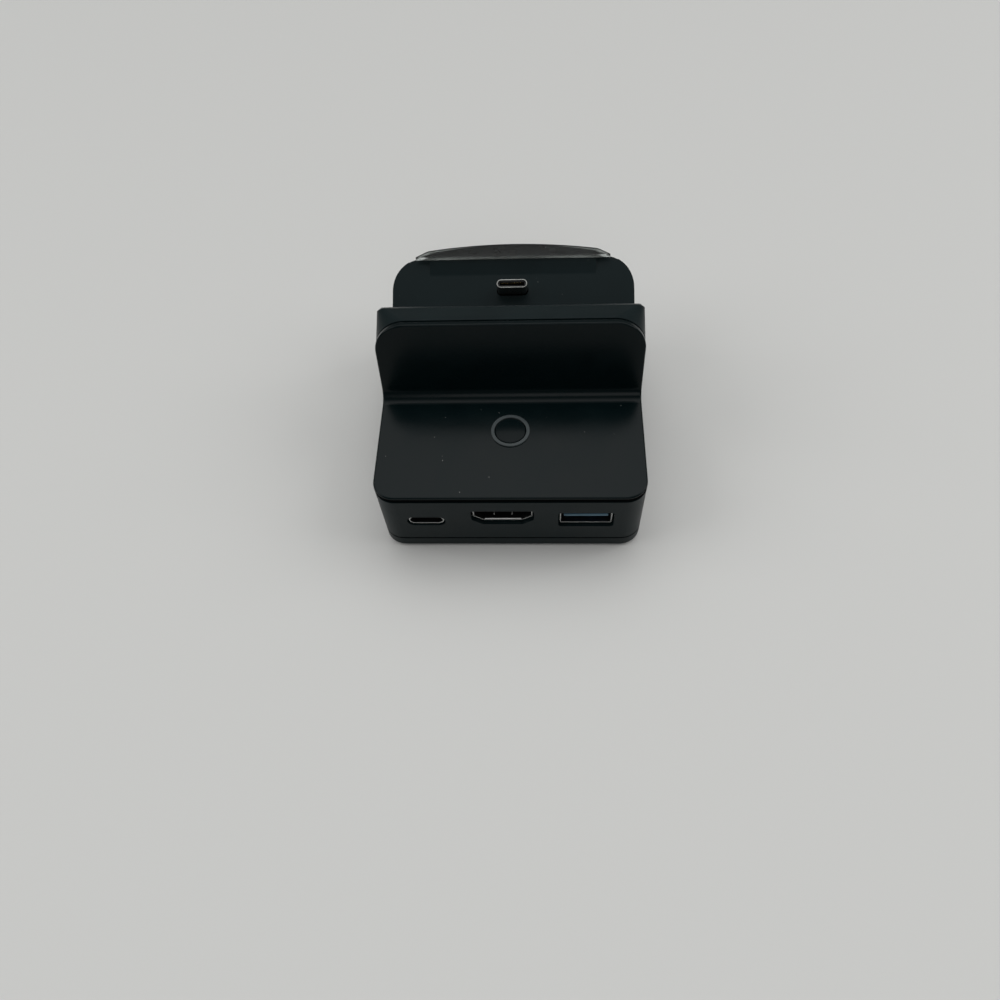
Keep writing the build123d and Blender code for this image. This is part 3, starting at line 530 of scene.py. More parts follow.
@dataclass(frozen=True)
class ClearFinish:
    """Clear silicone with a fine matt skin, painted greyer over the lip as painted shade and left
    clearer at its overhanging ends.
    """

    name: str
    colour: Colour
    painted_shade_colour: Colour
    painted_shade_half_width: float
    gloss: Span
    transmission: float = 1.0
    fade: float = 0.0006
    refraction: float = 1.32
    grain_size: float = 0.0004
    grain_depth: float = 0.000001
    mottle_size: float = 0.006

    def material(self) -> Material:
        """Build the finish.

        Returns:
            The material.
        """
        material, bench, shader = opened(self.name)
        bench.feed(shader, {"IOR": self.refraction, "Transmission Weight": self.transmission})
        grain = GROUPS.place(
            bench,
            SurfaceGroup.MOULDED_GRAIN,
            grain_scale=1 / self.grain_size,
            mottle_scale=1 / self.mottle_size,
        )
        place = bench.add("ShaderNodeTexCoord")
        # Painted shade: greyer where the strip lies over the dark lip, clearer past the lip's ends.
        away = bench.math("ABSOLUTE", bench.axis(place.outputs["Object"], "X"), 0.0)
        edge = (self.painted_shade_half_width - self.fade, self.painted_shade_half_width + self.fade)
        free = bench.ramp(away, edge)
        colour = bench.blend(free, self.painted_shade_colour, self.colour)
        roughness = bench.ramp(grain["Mottle"], MOTTLE_SPAN, self.gloss)
        bench.feed(shader, {"Base Color": colour, "Roughness": roughness})
        bench.relief(grain["Height"], self.grain_depth, shader.inputs["Normal"])
        return material


Finish = MouldedFinish | MetalFinish | ClearFinish


class Finishes:
    """Every finish of the dock, each built once."""

    BLACK_SHELL = MouldedFinish(
        "black shell plastic",
        (0.003, 0.0078, 0.0088),
        (0.02, 0.026, 0.027),
        (0.34, 0.44),
        dust=0.35,
    )
    BLACK_COVER = MouldedFinish(
        "black cover plastic",
        (0.0005, 0.0036, 0.0042),
        (0.018, 0.022, 0.023),
        (0.2, 0.27),
        grain_depth=0.0000025,
        dust=0.6,
    )
    # Near-black matt finish of the bands that paint the shadow of the parting line and of the
    # cover's edge.
    SEAM_SHADOW = MouldedFinish(
        "seam shadow",
        (0.0008, 0.0012, 0.0013),
        (0.0008, 0.0012, 0.0013),
        (0.8, 0.9),
        refraction=1.05,
    )
    # The strip's middle is painted greyer as painted shade over the dark lip.
    CLEAR_SILICONE = ClearFinish(
        "clear silicone",
        (0.34, 0.36, 0.35),
        (0.24, 0.26, 0.25),
        painted_shade_half_width=0.0235,
        gloss=(0.2, 0.28),
    )
    FOOT_RUBBER = MouldedFinish(
        "foot rubber",
        (0.016, 0.016, 0.017),
        (0.05, 0.05, 0.05),
        (0.68, 0.84),
        grain_size=0.0003,
        grain_depth=0.00002,
    )
    SCREW_STEEL = MetalFinish(
        "blackened screw steel", (0.09, 0.09, 0.095), (0.05, 0.05, 0.055), (0.3, 0.46)
    )
    RING_PLASTIC = MouldedFinish(
        "button ring plastic",
        (0.042, 0.05, 0.052),
        (0.1, 0.106, 0.107),
        (0.2, 0.3),
        edge_radius=0.00012,
        wear_and_highlight=0.7,
    )
    CAP_PLASTIC = MouldedFinish(
        "button cap plastic",
        (0.0016, 0.0044, 0.005),
        (0.03, 0.036, 0.037),
        (0.16, 0.24),
        dust=0.5,
        refraction=1.17,
    )
    KEY_PLASTIC = MouldedFinish("key plastic", (0.02, 0.02, 0.021), (0.06, 0.06, 0.06), (0.4, 0.55))
    BOARD_LAMINATE = MouldedFinish(
        "board laminate",
        (0.008, 0.05, 0.028),
        (0.09, 0.12, 0.07),
        (0.32, 0.46),
        grain_size=0.0004,
        mottle_size=0.003,
    )
    PLUG_STEEL = MetalFinish("plug steel", (0.31, 0.315, 0.305), (0.25, 0.255, 0.245), (0.24, 0.34))
    # Socket shell plating painted near-black: painted shade inside the sockets; the rims keep the
    # plating's own colour.
    PAINTED_SHADE_SOCKET_STEEL = MetalFinish(
        "shaded socket steel", (0.07, 0.072, 0.074), (0.045, 0.047, 0.048), (0.36, 0.5)
    )
    BRIGHT_RIM = MetalFinish(
        "bright rim plating", (0.66, 0.67, 0.66), (0.56, 0.57, 0.56), (0.4, 0.52)
    )
    BLACK_INSULATOR = MouldedFinish(
        "black insulator",
        (0.012, 0.012, 0.013),
        (0.04, 0.04, 0.04),
        (0.42, 0.55),
        edge_radius=0.00008,
    )
    # Its edges are painted far paler: partly rubbed wear, partly painted highlight on the tongue's
    # front edge.
    BLUE_INSULATOR = MouldedFinish(
        "blue insulator",
        (0.03, 0.12, 0.26),
        (0.42, 0.5, 0.58),
        (0.34, 0.46),
        edge_radius=0.0002,
        wear_and_highlight=1.0,
        mottle_size=0.004,
    )
    # Paler copy of the blue insulator: painted light on the front face of the data socket's tongue.
    BLUE_INSULATOR_PAINTED_LIGHT = MouldedFinish(
        "blue insulator with painted light",
        (0.09, 0.16, 0.21),
        (0.2, 0.28, 0.33),
        (0.34, 0.46),
        edge_radius=0.00008,
    )
    GILT_CONTACT = MetalFinish("gilt contact", (0.82, 0.6, 0.26), (0.6, 0.42, 0.18), (0.18, 0.3))
    SLEEVE_PLASTIC = MouldedFinish(
        "plug sleeve plastic", (0.003, 0.004, 0.0045), (0.02, 0.022, 0.023), (0.46, 0.58)
    )
    RIBBON_FILM = MouldedFinish("ribbon film", (0.3, 0.13, 0.03), (0.4, 0.2, 0.08), (0.3, 0.42))
    RIBBON_SOCKET = MouldedFinish(
        "ribbon socket plastic", (0.5, 0.47, 0.4), (0.6, 0.57, 0.5), (0.42, 0.56)
    )
    CHIP_RESIN = MouldedFinish(
        "chip resin", (0.013, 0.013, 0.014), (0.05, 0.05, 0.05), (0.5, 0.66), grain_depth=0.00001
    )
    COIL_FERRITE = MouldedFinish(
        "coil ferrite", (0.035, 0.034, 0.034), (0.09, 0.09, 0.09), (0.5, 0.7)
    )
    CAPACITOR_CAN = MetalFinish(
        "capacitor can", (0.55, 0.55, 0.56), (0.42, 0.42, 0.43), (0.24, 0.36)
    )

    def __init__(self) -> None:
        """Start with no material built."""
        self.built: dict[str, Material] = {}

    def get(self, finish: Finish) -> Material:
        """Give the finish's material, built at the first call."""
        if finish.name not in self.built:
            self.built[finish.name] = finish.material()
        return self.built[finish.name]

    def dress(self, finish: Finish, *nodes: str) -> None:
        """Give CAD nodes a finish in all their material slots.

        Args:
            finish: The finish to give.
            nodes: Names of the CAD nodes.
        """
        for name in nodes:
            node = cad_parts[name]
            if not node.material_slots:
                node.data.materials.append(self.get(finish))
            for slot in node.material_slots:
                slot.material = self.get(finish)
            log.info("%s wears %s", name, finish.name)

    def piece(
        self, name: str, mesh: Mesh, finish: Finish, slot: str, body: str = DOCK_BODY
    ) -> bpy.types.Object:
        """Turn a bmesh into a dressed piece that rides on a body.

        Args:
            name: The piece's name.
            mesh: Its shape in the dock's frame; it is freed here.
            finish: Its finish.
            slot: The record's material slot that it belongs to; not used.
            body: The CAD body that carries it.

        Returns:
            The new object.
        """
        bmesh.ops.remove_doubles(mesh, verts=mesh.verts[:], dist=MERGE_DISTANCE)
        bmesh.ops.recalc_face_normals(mesh, faces=mesh.faces[:])
        data = bpy.data.meshes.new(name)
        mesh.to_mesh(data)
        mesh.free()
        data.materials.append(self.get(finish))
        data.shade_smooth()
        data.set_sharp_from_angle(angle=SMOOTH_ANGLE)
        piece = bpy.data.objects.new(name, data)
        bpy.context.scene.collection.objects.link(piece)
        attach(piece, body)
        log.info("%s has %d faces", name, len(data.polygons))
        return piece


def quarter_centres(node: str) -> list[Vector]:
    """Find the middles of a node's four solids, one in each quarter of its plan.

    Args:
        node: The CAD node's name.

    Returns:
        The middle of each solid's box, in metres.
    """
    low, high = map(Vector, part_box(node))
    middle = (low + high) / 2
    buckets: dict[tuple[bool, bool], list[Vector]] = {}
    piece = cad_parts[node]
    for vertex in piece.data.vertices:
        place = piece.matrix_world @ vertex.co
        key = (place.x > middle.x, place.y > middle.y)
        buckets.setdefault(key, []).append(place)
    centres = []
    for key in sorted(buckets):
        points = buckets[key]
        corner = Vector(min(point[axis] for point in points) for axis in range(3))
        opposite = Vector(max(point[axis] for point in points) for axis in range(3))
        centres.append((corner + opposite) / 2)
    return centres


def spun(mesh: Mesh, profile: Iterable[Span], steps: int) -> Vertices:
    """Spin a profile of radius and height about Z into a closed surface.

    Args:
        mesh: The bmesh that takes the surface.
        profile: Radius and height of each point, in metres.
        steps: How many steps make the full turn.

    Returns:
        The new vertices.
    """
    known = set(mesh.verts)
    points = [mesh.verts.new((radius, 0.0, height)) for radius, height in profile]
    edges = [mesh.edges.new(pair) for pair in zip(points, points[1:])]
    bmesh.ops.spin(
        mesh,
        geom=points + edges,
        cent=(0, 0, 0),
        axis=(0, 0, 1),
        dvec=(0, 0, 0),
        angle=FULL_TURN,
        steps=steps,
        use_merge=True,
    )
    return [vertex for vertex in mesh.verts if vertex not in known]


def stamped(shape: Mesh, places: Iterable[Matrix]) -> Mesh:
    """Copy a shape to each place in a new bmesh, and free the shape.

    Args:
        shape: The bmesh that is copied.
        places: A transform for each copy.

    Returns:
        The bmesh with the copies.
    """
    pattern = bpy.data.meshes.new("pattern")
    shape.to_mesh(pattern)
    shape.free()
    mesh = bmesh.new()
    for place in places:
        known = set(mesh.verts)
        mesh.from_mesh(pattern)
        fresh = [vertex for vertex in mesh.verts if vertex not in known]
        bmesh.ops.transform(mesh, matrix=place, verts=fresh)
    bpy.data.meshes.remove(pattern)
    return mesh


def block(mesh: Mesh, size: Iterable[float]) -> Vertices:
    """Add a box of a given size about the origin.

    Args:
        mesh: The bmesh that takes the box.
        size: Its sizes along X, Y and Z, in metres.

    Returns:
        The new vertices.
    """
    made = bmesh.ops.create_cube(mesh, size=1.0)["verts"]
    bmesh.ops.scale(mesh, vec=tuple(size), verts=made)
    return made


def lifted(mesh: Mesh, faces: list[bmesh.types.BMFace]) -> Vertices:
    """Extrude faces in place.

    Args:
        mesh: The bmesh that holds them.
        faces: The faces to extrude.

    Returns:
        The new vertices, still to be moved.
    """
    made = bmesh.ops.extrude_face_region(mesh, geom=faces)["geom"]
    return [item for item in made if isinstance(item, bmesh.types.BMVert)]


def ease(
    mesh: Mesh,
    geom: list[bmesh.types.BMEdge] | Vertices,
    offset: float,
    segments: int,
    affect: Eased = Eased.EDGES,
) -> None:
    """Bevel edges, or the corners of a flat outline.

    Args:
        mesh: The bmesh that holds them.
        geom: The edges or the corners.
        offset: How far the bevel reaches from them, in metres.
        segments: How many steps make the round; one makes a chamfer.
        affect: Whether edges or corners are given.
    """
    bmesh.ops.bevel(
        mesh,
        geom=geom,
        offset=offset,
        segments=segments,
        profile=0.5,
        affect=affect.value,
        material=-1,
    )


@dataclass
class CrossScrew:
    """A pan-head screw with a cross recess and a rolled thread, sizes in metres."""

    head_radius: float
    head_height: float
    shank_radius: float
    shank_length: float
    thread_pitch: float = 0.0008
    recess_share: float = 0.62
    recess_width_share: float = 0.22
    recess_depth_share: float = 0.55
    recess_taper: Triple = (0.72, 0.72, 1.0)
    crown_share: float = 0.3
    crown_bend: float = 0.3
    core_share: float = 0.78
    tip_flat_share: float = 0.7
    crest_span: Span = (0.4, 0.5)
    steps: int = 32
    thread_steps: int = 16

    @property
    def crown(self) -> float:
        """Height of the round on the head's rim."""
        return self.head_height * self.crown_share

    @property
    def core(self) -> float:
        """Radius at the root of the thread."""
        return self.shank_radius * self.core_share

    def shape(self) -> Mesh:
        """Build the screw with its head's top at the origin, looking along +Z.

        Returns:
            The screw's bmesh.
        """
        mesh = bmesh.new()
        self.add_head_top(mesh)
        seat = -self.head_height
        bend = self.crown * self.crown_bend
        spun(
            mesh,
            (
                (self.head_radius - self.crown, 0.0),
                (self.head_radius - bend, -bend),
                (self.head_radius, -self.crown),
                (self.head_radius, seat),
                (self.core, seat),
            ),
            self.steps,
        )
        self.add_thread(mesh, seat)
        return mesh

    def add_head_top(self, mesh: Mesh) -> None:
        """Add the flat of the head with its sunk cross."""
        flat = self.head_radius - self.crown
        reach = flat * self.recess_share
        half = flat * self.recess_width_share
        bmesh.ops.create_circle(mesh, cap_ends=True, radius=flat, segments=self.steps)
        for axis in (Vector((1, 0, 0)), Vector((0, 1, 0))):
            for offset in (-reach, -half, half, reach):
                everything = mesh.verts[:] + mesh.edges[:] + mesh.faces[:]
                bmesh.ops.bisect_plane(mesh, geom=everything, plane_co=axis * offset, plane_no=axis)
        cross = []
        for face in mesh.faces:
            spot = face.calc_center_median()
            along = max(abs(spot.x), abs(spot.y))
            across = min(abs(spot.x), abs(spot.y))
            if along < reach and across < half:
                cross.append(face)
        floor = lifted(mesh, cross)
        left = [face for face in cross if face.is_valid]
        bmesh.ops.delete(mesh, geom=left, context="FACES_ONLY")
        depth = self.head_height * self.recess_depth_share
        bmesh.ops.scale(mesh, vec=self.recess_taper, verts=floor)
        bmesh.ops.translate(mesh, vec=(0, 0, -depth), verts=floor)

    def add_thread(self, mesh: Mesh, seat: float) -> None:
        """Add the rolled thread below the head and close its tip."""
        turns = int(self.shank_length / self.thread_pitch) - 1
        steps = self.thread_steps * turns
        rise = self.thread_pitch
        tip = seat - self.shank_length
        crest = [(self.shank_radius, share * rise) for share in self.crest_span]
        profile = [(self.core, 0.0), *crest, (self.core, rise)]
        points = [mesh.verts.new((radius, 0.0, tip + height)) for radius, height in profile]
        edges = [mesh.edges.new(pair) for pair in zip(points, points[1:])]
        bmesh.ops.spin(
            mesh,
            geom=points + edges,
            cent=(0, 0, 0),
            axis=(0, 0, 1),
            dvec=(0, 0, turns * rise / steps),
            angle=FULL_TURN * turns,
            steps=steps,
        )
        flat = self.core * self.tip_flat_share
        spun(mesh, ((self.core, seat), (self.core, tip), (flat, tip), (0.0, tip)), self.steps)


@dataclass
class BaseAssembly:
    """Base plate, feet and case screws."""

    finishes: Finishes
    foot_ring_shares: tuple[float, ...] = (0.24, 0.46, 0.68)
    foot_ring_slope_share: float = 0.05
    foot_ring_depth: float = 0.00018
    foot_edge: tuple[Span, ...] = ((0.94, 0.0), (0.985, 0.04), (1.0, 0.1))
    foot_steps: int = 48
    screw_head_height: float = 0.0014
    screw_shank_radius: float = 0.0011
    screw_shank_length: float = 0.009

    def build(self) -> None:
        """Dress the base plate and make its feet and screws."""
        self.finishes.dress(Finishes.BLACK_SHELL, "base_plate")
        self.add_feet()
        self.add_screws()

    def add_feet(self) -> None:
        """Make four rubber feet with moulded grip rings."""
        low, high = map(Vector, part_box("rubber_feet"))
        centres = quarter_centres("rubber_feet")
        radius = high.x - centres[-1].x
        height = high.z - low.z
        shape = bmesh.new()
        profile = [(0.0, 0.0)]
        slope = self.foot_ring_slope_share * radius
        for share in self.foot_ring_shares:
            inner = share * radius
            profile += [
                (inner, 0.0),
                (inner + slope, self.foot_ring_depth),
                (inner + 2 * slope, self.foot_ring_depth),
                (inner + 3 * slope, 0.0),
            ]
        profile += [(share * radius, rise * radius) for share, rise in self.foot_edge]
        profile += [(radius, height), (0.0, height)]
        spun(shape, profile, self.foot_steps)
        places = [Matrix.Translation((spot.x, spot.y, low.z)) for spot in centres]
        mesh = stamped(shape, places)
        piece = self.finishes.piece("grip_feet", mesh, Finishes.FOOT_RUBBER, "foot_rubber")
        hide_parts("rubber_feet")

    def add_screws(self) -> None:
        """Make the four case screws, heads down."""
        low, high = map(Vector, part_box("case_screws"))
        centres = quarter_centres("case_screws")
        head_radius = high.x - max(spot.x for spot in centres)
        screw = CrossScrew(
            head_radius,
            self.screw_head_height,
            self.screw_shank_radius,
            self.screw_shank_length,
        )
        down = Matrix.Rotation(math.pi, 4, "X")
        places = [Matrix.Translation((spot.x, spot.y, low.z)) @ down for spot in centres]
        mesh = stamped(screw.shape(), places)
        piece = self.finishes.piece("cross_case_screws", mesh, Finishes.SCREW_STEEL, "screw_steel")
        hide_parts("case_screws")


@dataclass
class ShellAssembly:
    """Housing, ski-jump cover, cradle and the clear strip on its lip, sizes in metres."""

    finishes: Finishes
    seam_level: float = 0.0043
    seam_height: float = 0.0003
    cover_level: float = 0.0226
    cover_shade_height: float = 0.0008
    band_stand: float = 0.00002
    band_level_facing: float = 0.5
    band_rear_facing: float = 0.9
    strip_half_length: float = 0.0268
    strip_corner_x: float = 0.0236
    strip_bow: float = 0.0023
    strip_near: float = 0.03295
    strip_end_depth: float = 0.0004
    strip_thickness: float = 0.00095
    strip_round: float = 0.00022
    strip_corner_round: float = 0.0008
    strip_steps: int = 16
    peg_steps: int = 32
    peg_places: tuple[float, ...] = (-0.011, 0.0, 0.011)
    peg_line: float = 0.0353
    peg_radius: float = 0.001
    peg_gap: float = 0.00001

    def build(self) -> None:
        """Dress the shells, lay the strip, and lay painted shadow bands along the parting line and
        the cover's edge.
        """
        self.finishes.dress(Finishes.BLACK_SHELL, "main_housing", "cradle")
        self.finishes.dress(Finishes.BLACK_COVER, "top_cover")
        self.add_clear_strip()
        # Painted shadow: dark bands along the housing's parting line and the cover's front edge.
        self.add_painted_shadow_band(
            "housing_seam_painted_shadow", "main_housing", "shell_plastic", self.seam_level, self.seam_height
        )
        self.add_painted_shadow_band(
            "cover_edge_shade",
            "top_cover",
            "cover_plastic",
            self.cover_level,
            self.cover_shade_height,
        )

    def strip_outline(self, far: float) -> list[Span]:
        """Give the strip's plan: straight near edge, short ends and a bowed far edge.

        Args:
            far: Y of the far edge's middle.

        Returns:
            X and Y of each corner, in order.
        """
        half, near = self.strip_half_length, self.strip_near
        end = near + self.strip_end_depth
        points = [(-half, near), (half, near), (half, end)]
        for step in range(self.strip_steps + 1):
            share = 1 - 2 * step / self.strip_steps
            points.append((self.strip_corner_x * share, far - self.strip_bow * share**2))
        points.append((-half, end))
        return points

    def add_clear_strip(self) -> None:
        """Mould the clear strip on the lip, with its cut-back ends and its pegs."""
        low, high = map(Vector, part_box("clear_bumper"))
        base = high.z - self.strip_thickness
        mesh = bmesh.new()
        ring = [mesh.verts.new((x, y, base)) for x, y in self.strip_outline(high.y)]
        bmesh.ops.contextual_create(mesh, geom=ring)
        corners = [
            vertex
            for vertex in ring
            if abs(abs(vertex.co.x) - self.strip_corner_x) < LEVEL_TOLERANCE
        ]
        ease(mesh, corners, self.strip_corner_round, 4, Eased.CORNERS)
        top = lifted(mesh, mesh.faces[:])
        bmesh.ops.translate(mesh, vec=(0, 0, self.strip_thickness), verts=top)
        rim = [
            edge
            for edge in mesh.edges
            if all(end.co.z > base + LEVEL_TOLERANCE for end in edge.verts)
        ]
        ease(mesh, rim, self.strip_round, 3)
        peg_top = base - self.peg_gap
        for across in self.peg_places:
            bmesh.ops.create_cone(
                mesh,
                cap_ends=True,
                segments=self.peg_steps,
                radius1=self.peg_radius,
                radius2=self.peg_radius,
                depth=peg_top - low.z,
                matrix=Matrix.Translation((across, self.peg_line, (peg_top + low.z) / 2)),
            )
        piece = self.finishes.piece("clear_strip", mesh, Finishes.CLEAR_SILICONE, "clear_silicone")
        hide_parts("clear_bumper")

    def add_painted_shadow_band(
        self,
        name: str,
        node: str,
        slot: str,
        level: float,
        height: float,
    ) -> None:
        """Lay a thin dark band of painted shadow along a shell's lower edge, open towards the
        cradle.

        Args:
            name: The band's name.
            node: The shell that it lies on.
            slot: The shell's material slot.
            level: Height of the shell's lower edge.
            height: How far the band reaches up from there.
        """
        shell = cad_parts[node]
        mesh = bmesh.new()
        for vertex in shell.data.vertices:
            place = shell.matrix_world @ vertex.co
            if abs(place.z - level) < LEVEL_TOLERANCE:
                mesh.verts.new(place)
                mesh.verts.new((place.x, place.y, level + height))
        bmesh.ops.convex_hull(mesh, input=mesh.verts[:])
        mesh.normal_update()
        unseen = [
            face
            for face in mesh.faces
            if abs(face.normal.z) > self.band_level_facing or face.normal.y > self.band_rear_facing
        ]
        bmesh.ops.delete(mesh, geom=unseen, context="FACES_ONLY")
        loose = [edge for edge in mesh.edges if not edge.link_faces]
        bmesh.ops.delete(mesh, geom=loose, context="EDGES")
        inner = [vertex for vertex in mesh.verts if not vertex.link_faces]
        bmesh.ops.delete(mesh, geom=inner, context="VERTS")
        mesh.normal_update()
        for vertex in mesh.verts:
            vertex.co += self.band_stand * Vector((vertex.normal.x, vertex.normal.y, 0.0))
        self.finishes.piece(name, mesh, Finishes.SEAM_SHADOW, slot)


@dataclass
class ButtonAssembly:
    """Push button: bezel ring, cap with a crowned face, key and plunger."""

    finishes: Finishes
    face_radius: float = 0.0036
    face_crown: float = 0.00016
    face_sink: float = 0.0003
    face_points: int = 9
    face_steps: int = 48

    def build(self) -> None:
        """Dress the button's pieces and crown its face."""
        self.finishes.dress(Finishes.RING_PLASTIC, "button_ring")
        self.finishes.dress(Finishes.CAP_PLASTIC, "button_cap")
        self.finishes.dress(Finishes.KEY_PLASTIC, "key_switch", "key_plunger")
        self.add_face()

    def add_face(self) -> None:
        """Set a slightly crowned disc in the dish of the cap."""
        low, high = map(Vector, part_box("button_cap"))
        profile = []
        for step in range(self.face_points):
            share = step / (self.face_points - 1)
            profile.append((self.face_radius * share, self.face_crown * (1 - share**2)))
        profile += [(self.face_radius, -self.face_sink), (0.0, -self.face_sink)]
        mesh = bmesh.new()
        made = spun(mesh, profile, self.face_steps)
        spot = ((low.x + high.x) / 2, (low.y + high.y) / 2, high.z)
        bmesh.ops.translate(mesh, vec=spot, verts=made)
        self.finishes.piece("button_face", mesh, Finishes.CAP_PLASTIC, "cap_plastic", BUTTON_BODY)


@dataclass
class ContactRow:
    """A row of flat spring contacts with turned-up tips, sizes in metres."""

    count: int
    pitch: float
    width: float
    thickness: float
    length: float
    tip_taper: Triple = (0.7, 1.0, 0.6)
    round_share: float = 0.2

    def shape(self) -> Mesh:
        """Build the row along X with its tips at the origin, running back along +Y.

        Returns:
            The row's bmesh.
        """
        mesh = bmesh.new()
        for index in range(self.count):
            across = (index - (self.count - 1) / 2) * self.pitch
            made = block(mesh, (self.width, self.length, self.thickness))
            bmesh.ops.translate(mesh, vec=(across, self.length / 2, 0), verts=made)
            tip = [vertex for vertex in made if vertex.co.y < self.length / 4]
            bmesh.ops.scale(
                mesh,
                vec=self.tip_taper,
                space=Matrix.Translation((-across, 0, 0)),
                verts=tip,
            )
        ease(mesh, mesh.edges[:], self.thickness * self.round_share, 2)
        return mesh


@dataclass(frozen=True)
class SocketRim:
    """The rolled mouth of a sheet-metal socket, sizes in metres.

    The lower corners are cut by cut_x and cut_z, and all corners are rounded.
    """

    node: str
    width: float
    height: float
    middle_height: float
    corner: float
    cut_x: float = 0.0
    cut_z: float = 0.0
    sheet: float = 0.00028
    lead: float = 0.00008
    round_share: float = 0.9
    sharp_angle: float = 1.0
    arc_steps: int = 6

    def corners(self) -> list[Span]:
        """Give the outline's sharp corners, in order round the mouth.

        Returns:
            X and Z of each corner, from the middle of the mouth.
        """
        half_width, half_height = self.width / 2, self.height / 2
        points = [(-half_width, half_height), (half_width, half_height)]
        if self.cut_x:
            points += [
                (half_width, self.cut_z - half_height),
                (half_width - self.cut_x, -half_height),
                (self.cut_x - half_width, -half_height),
                (-half_width, self.cut_z - half_height),
            ]
        else:
            points += [(half_width, -half_height), (-half_width, -half_height)]
        return points

    def outline(self) -> list[Span]:
        """Give the outline with every corner turned into an arc.

        Returns:
            X and Z of each point, from the middle of the mouth.
        """
        corners = [Vector(point) for point in self.corners()]
        points = []
        for index, corner in enumerate(corners):
            before = (corners[index - 1] - corner).normalized()
            after = (corners[(index + 1) % len(corners)] - corner).normalized()
            half_angle = before.angle(after) / 2
            reach = self.corner / math.sin(half_angle)
            middle = corner + (before + after).normalized() * reach
            tangent = self.corner / math.tan(half_angle)
            start = corner + before * tangent - middle
            turn = start.angle_signed(corner + after * tangent - middle)
            for step in range(self.arc_steps + 1):
                spin = Matrix.Rotation(-turn * step / self.arc_steps, 2)
                points.append(tuple(middle + spin @ start))
        return points

    def build(self, finishes: Finishes) -> None:
        """Make the rim as a rounded band round the mouth.

        Args:
            finishes: Gives the rim its plating.
        """
        low, high = map(Vector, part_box(self.node))
        mesh = bmesh.new()
        across, middle = (low.x + high.x) / 2, self.middle_height
        ring = [mesh.verts.new((across + x, low.y, middle + z)) for x, z in self.outline()]
        bmesh.ops.contextual_create(mesh, geom=ring)
        bmesh.ops.inset_region(
            mesh,
            faces=mesh.faces[:],
            thickness=self.sheet,
            use_boundary=True,
            use_even_offset=True,
        )
        inner = max(mesh.faces, key=lambda face: len(face.verts))
        bmesh.ops.delete(mesh, geom=[inner], context="FACES")
        front = lifted(mesh, mesh.faces[:])
        bmesh.ops.translate(mesh, vec=(0, -self.lead, 0), verts=front)
        edges = [
            edge
            for edge in mesh.edges
            if len(edge.link_faces) == 2 and edge.calc_face_angle() > self.sharp_angle
        ]
        ease(mesh, edges, self.lead * self.round_share, 3)
        finishes.piece(f"{self.node}_rim", mesh, Finishes.BRIGHT_RIM, "plated_steel")


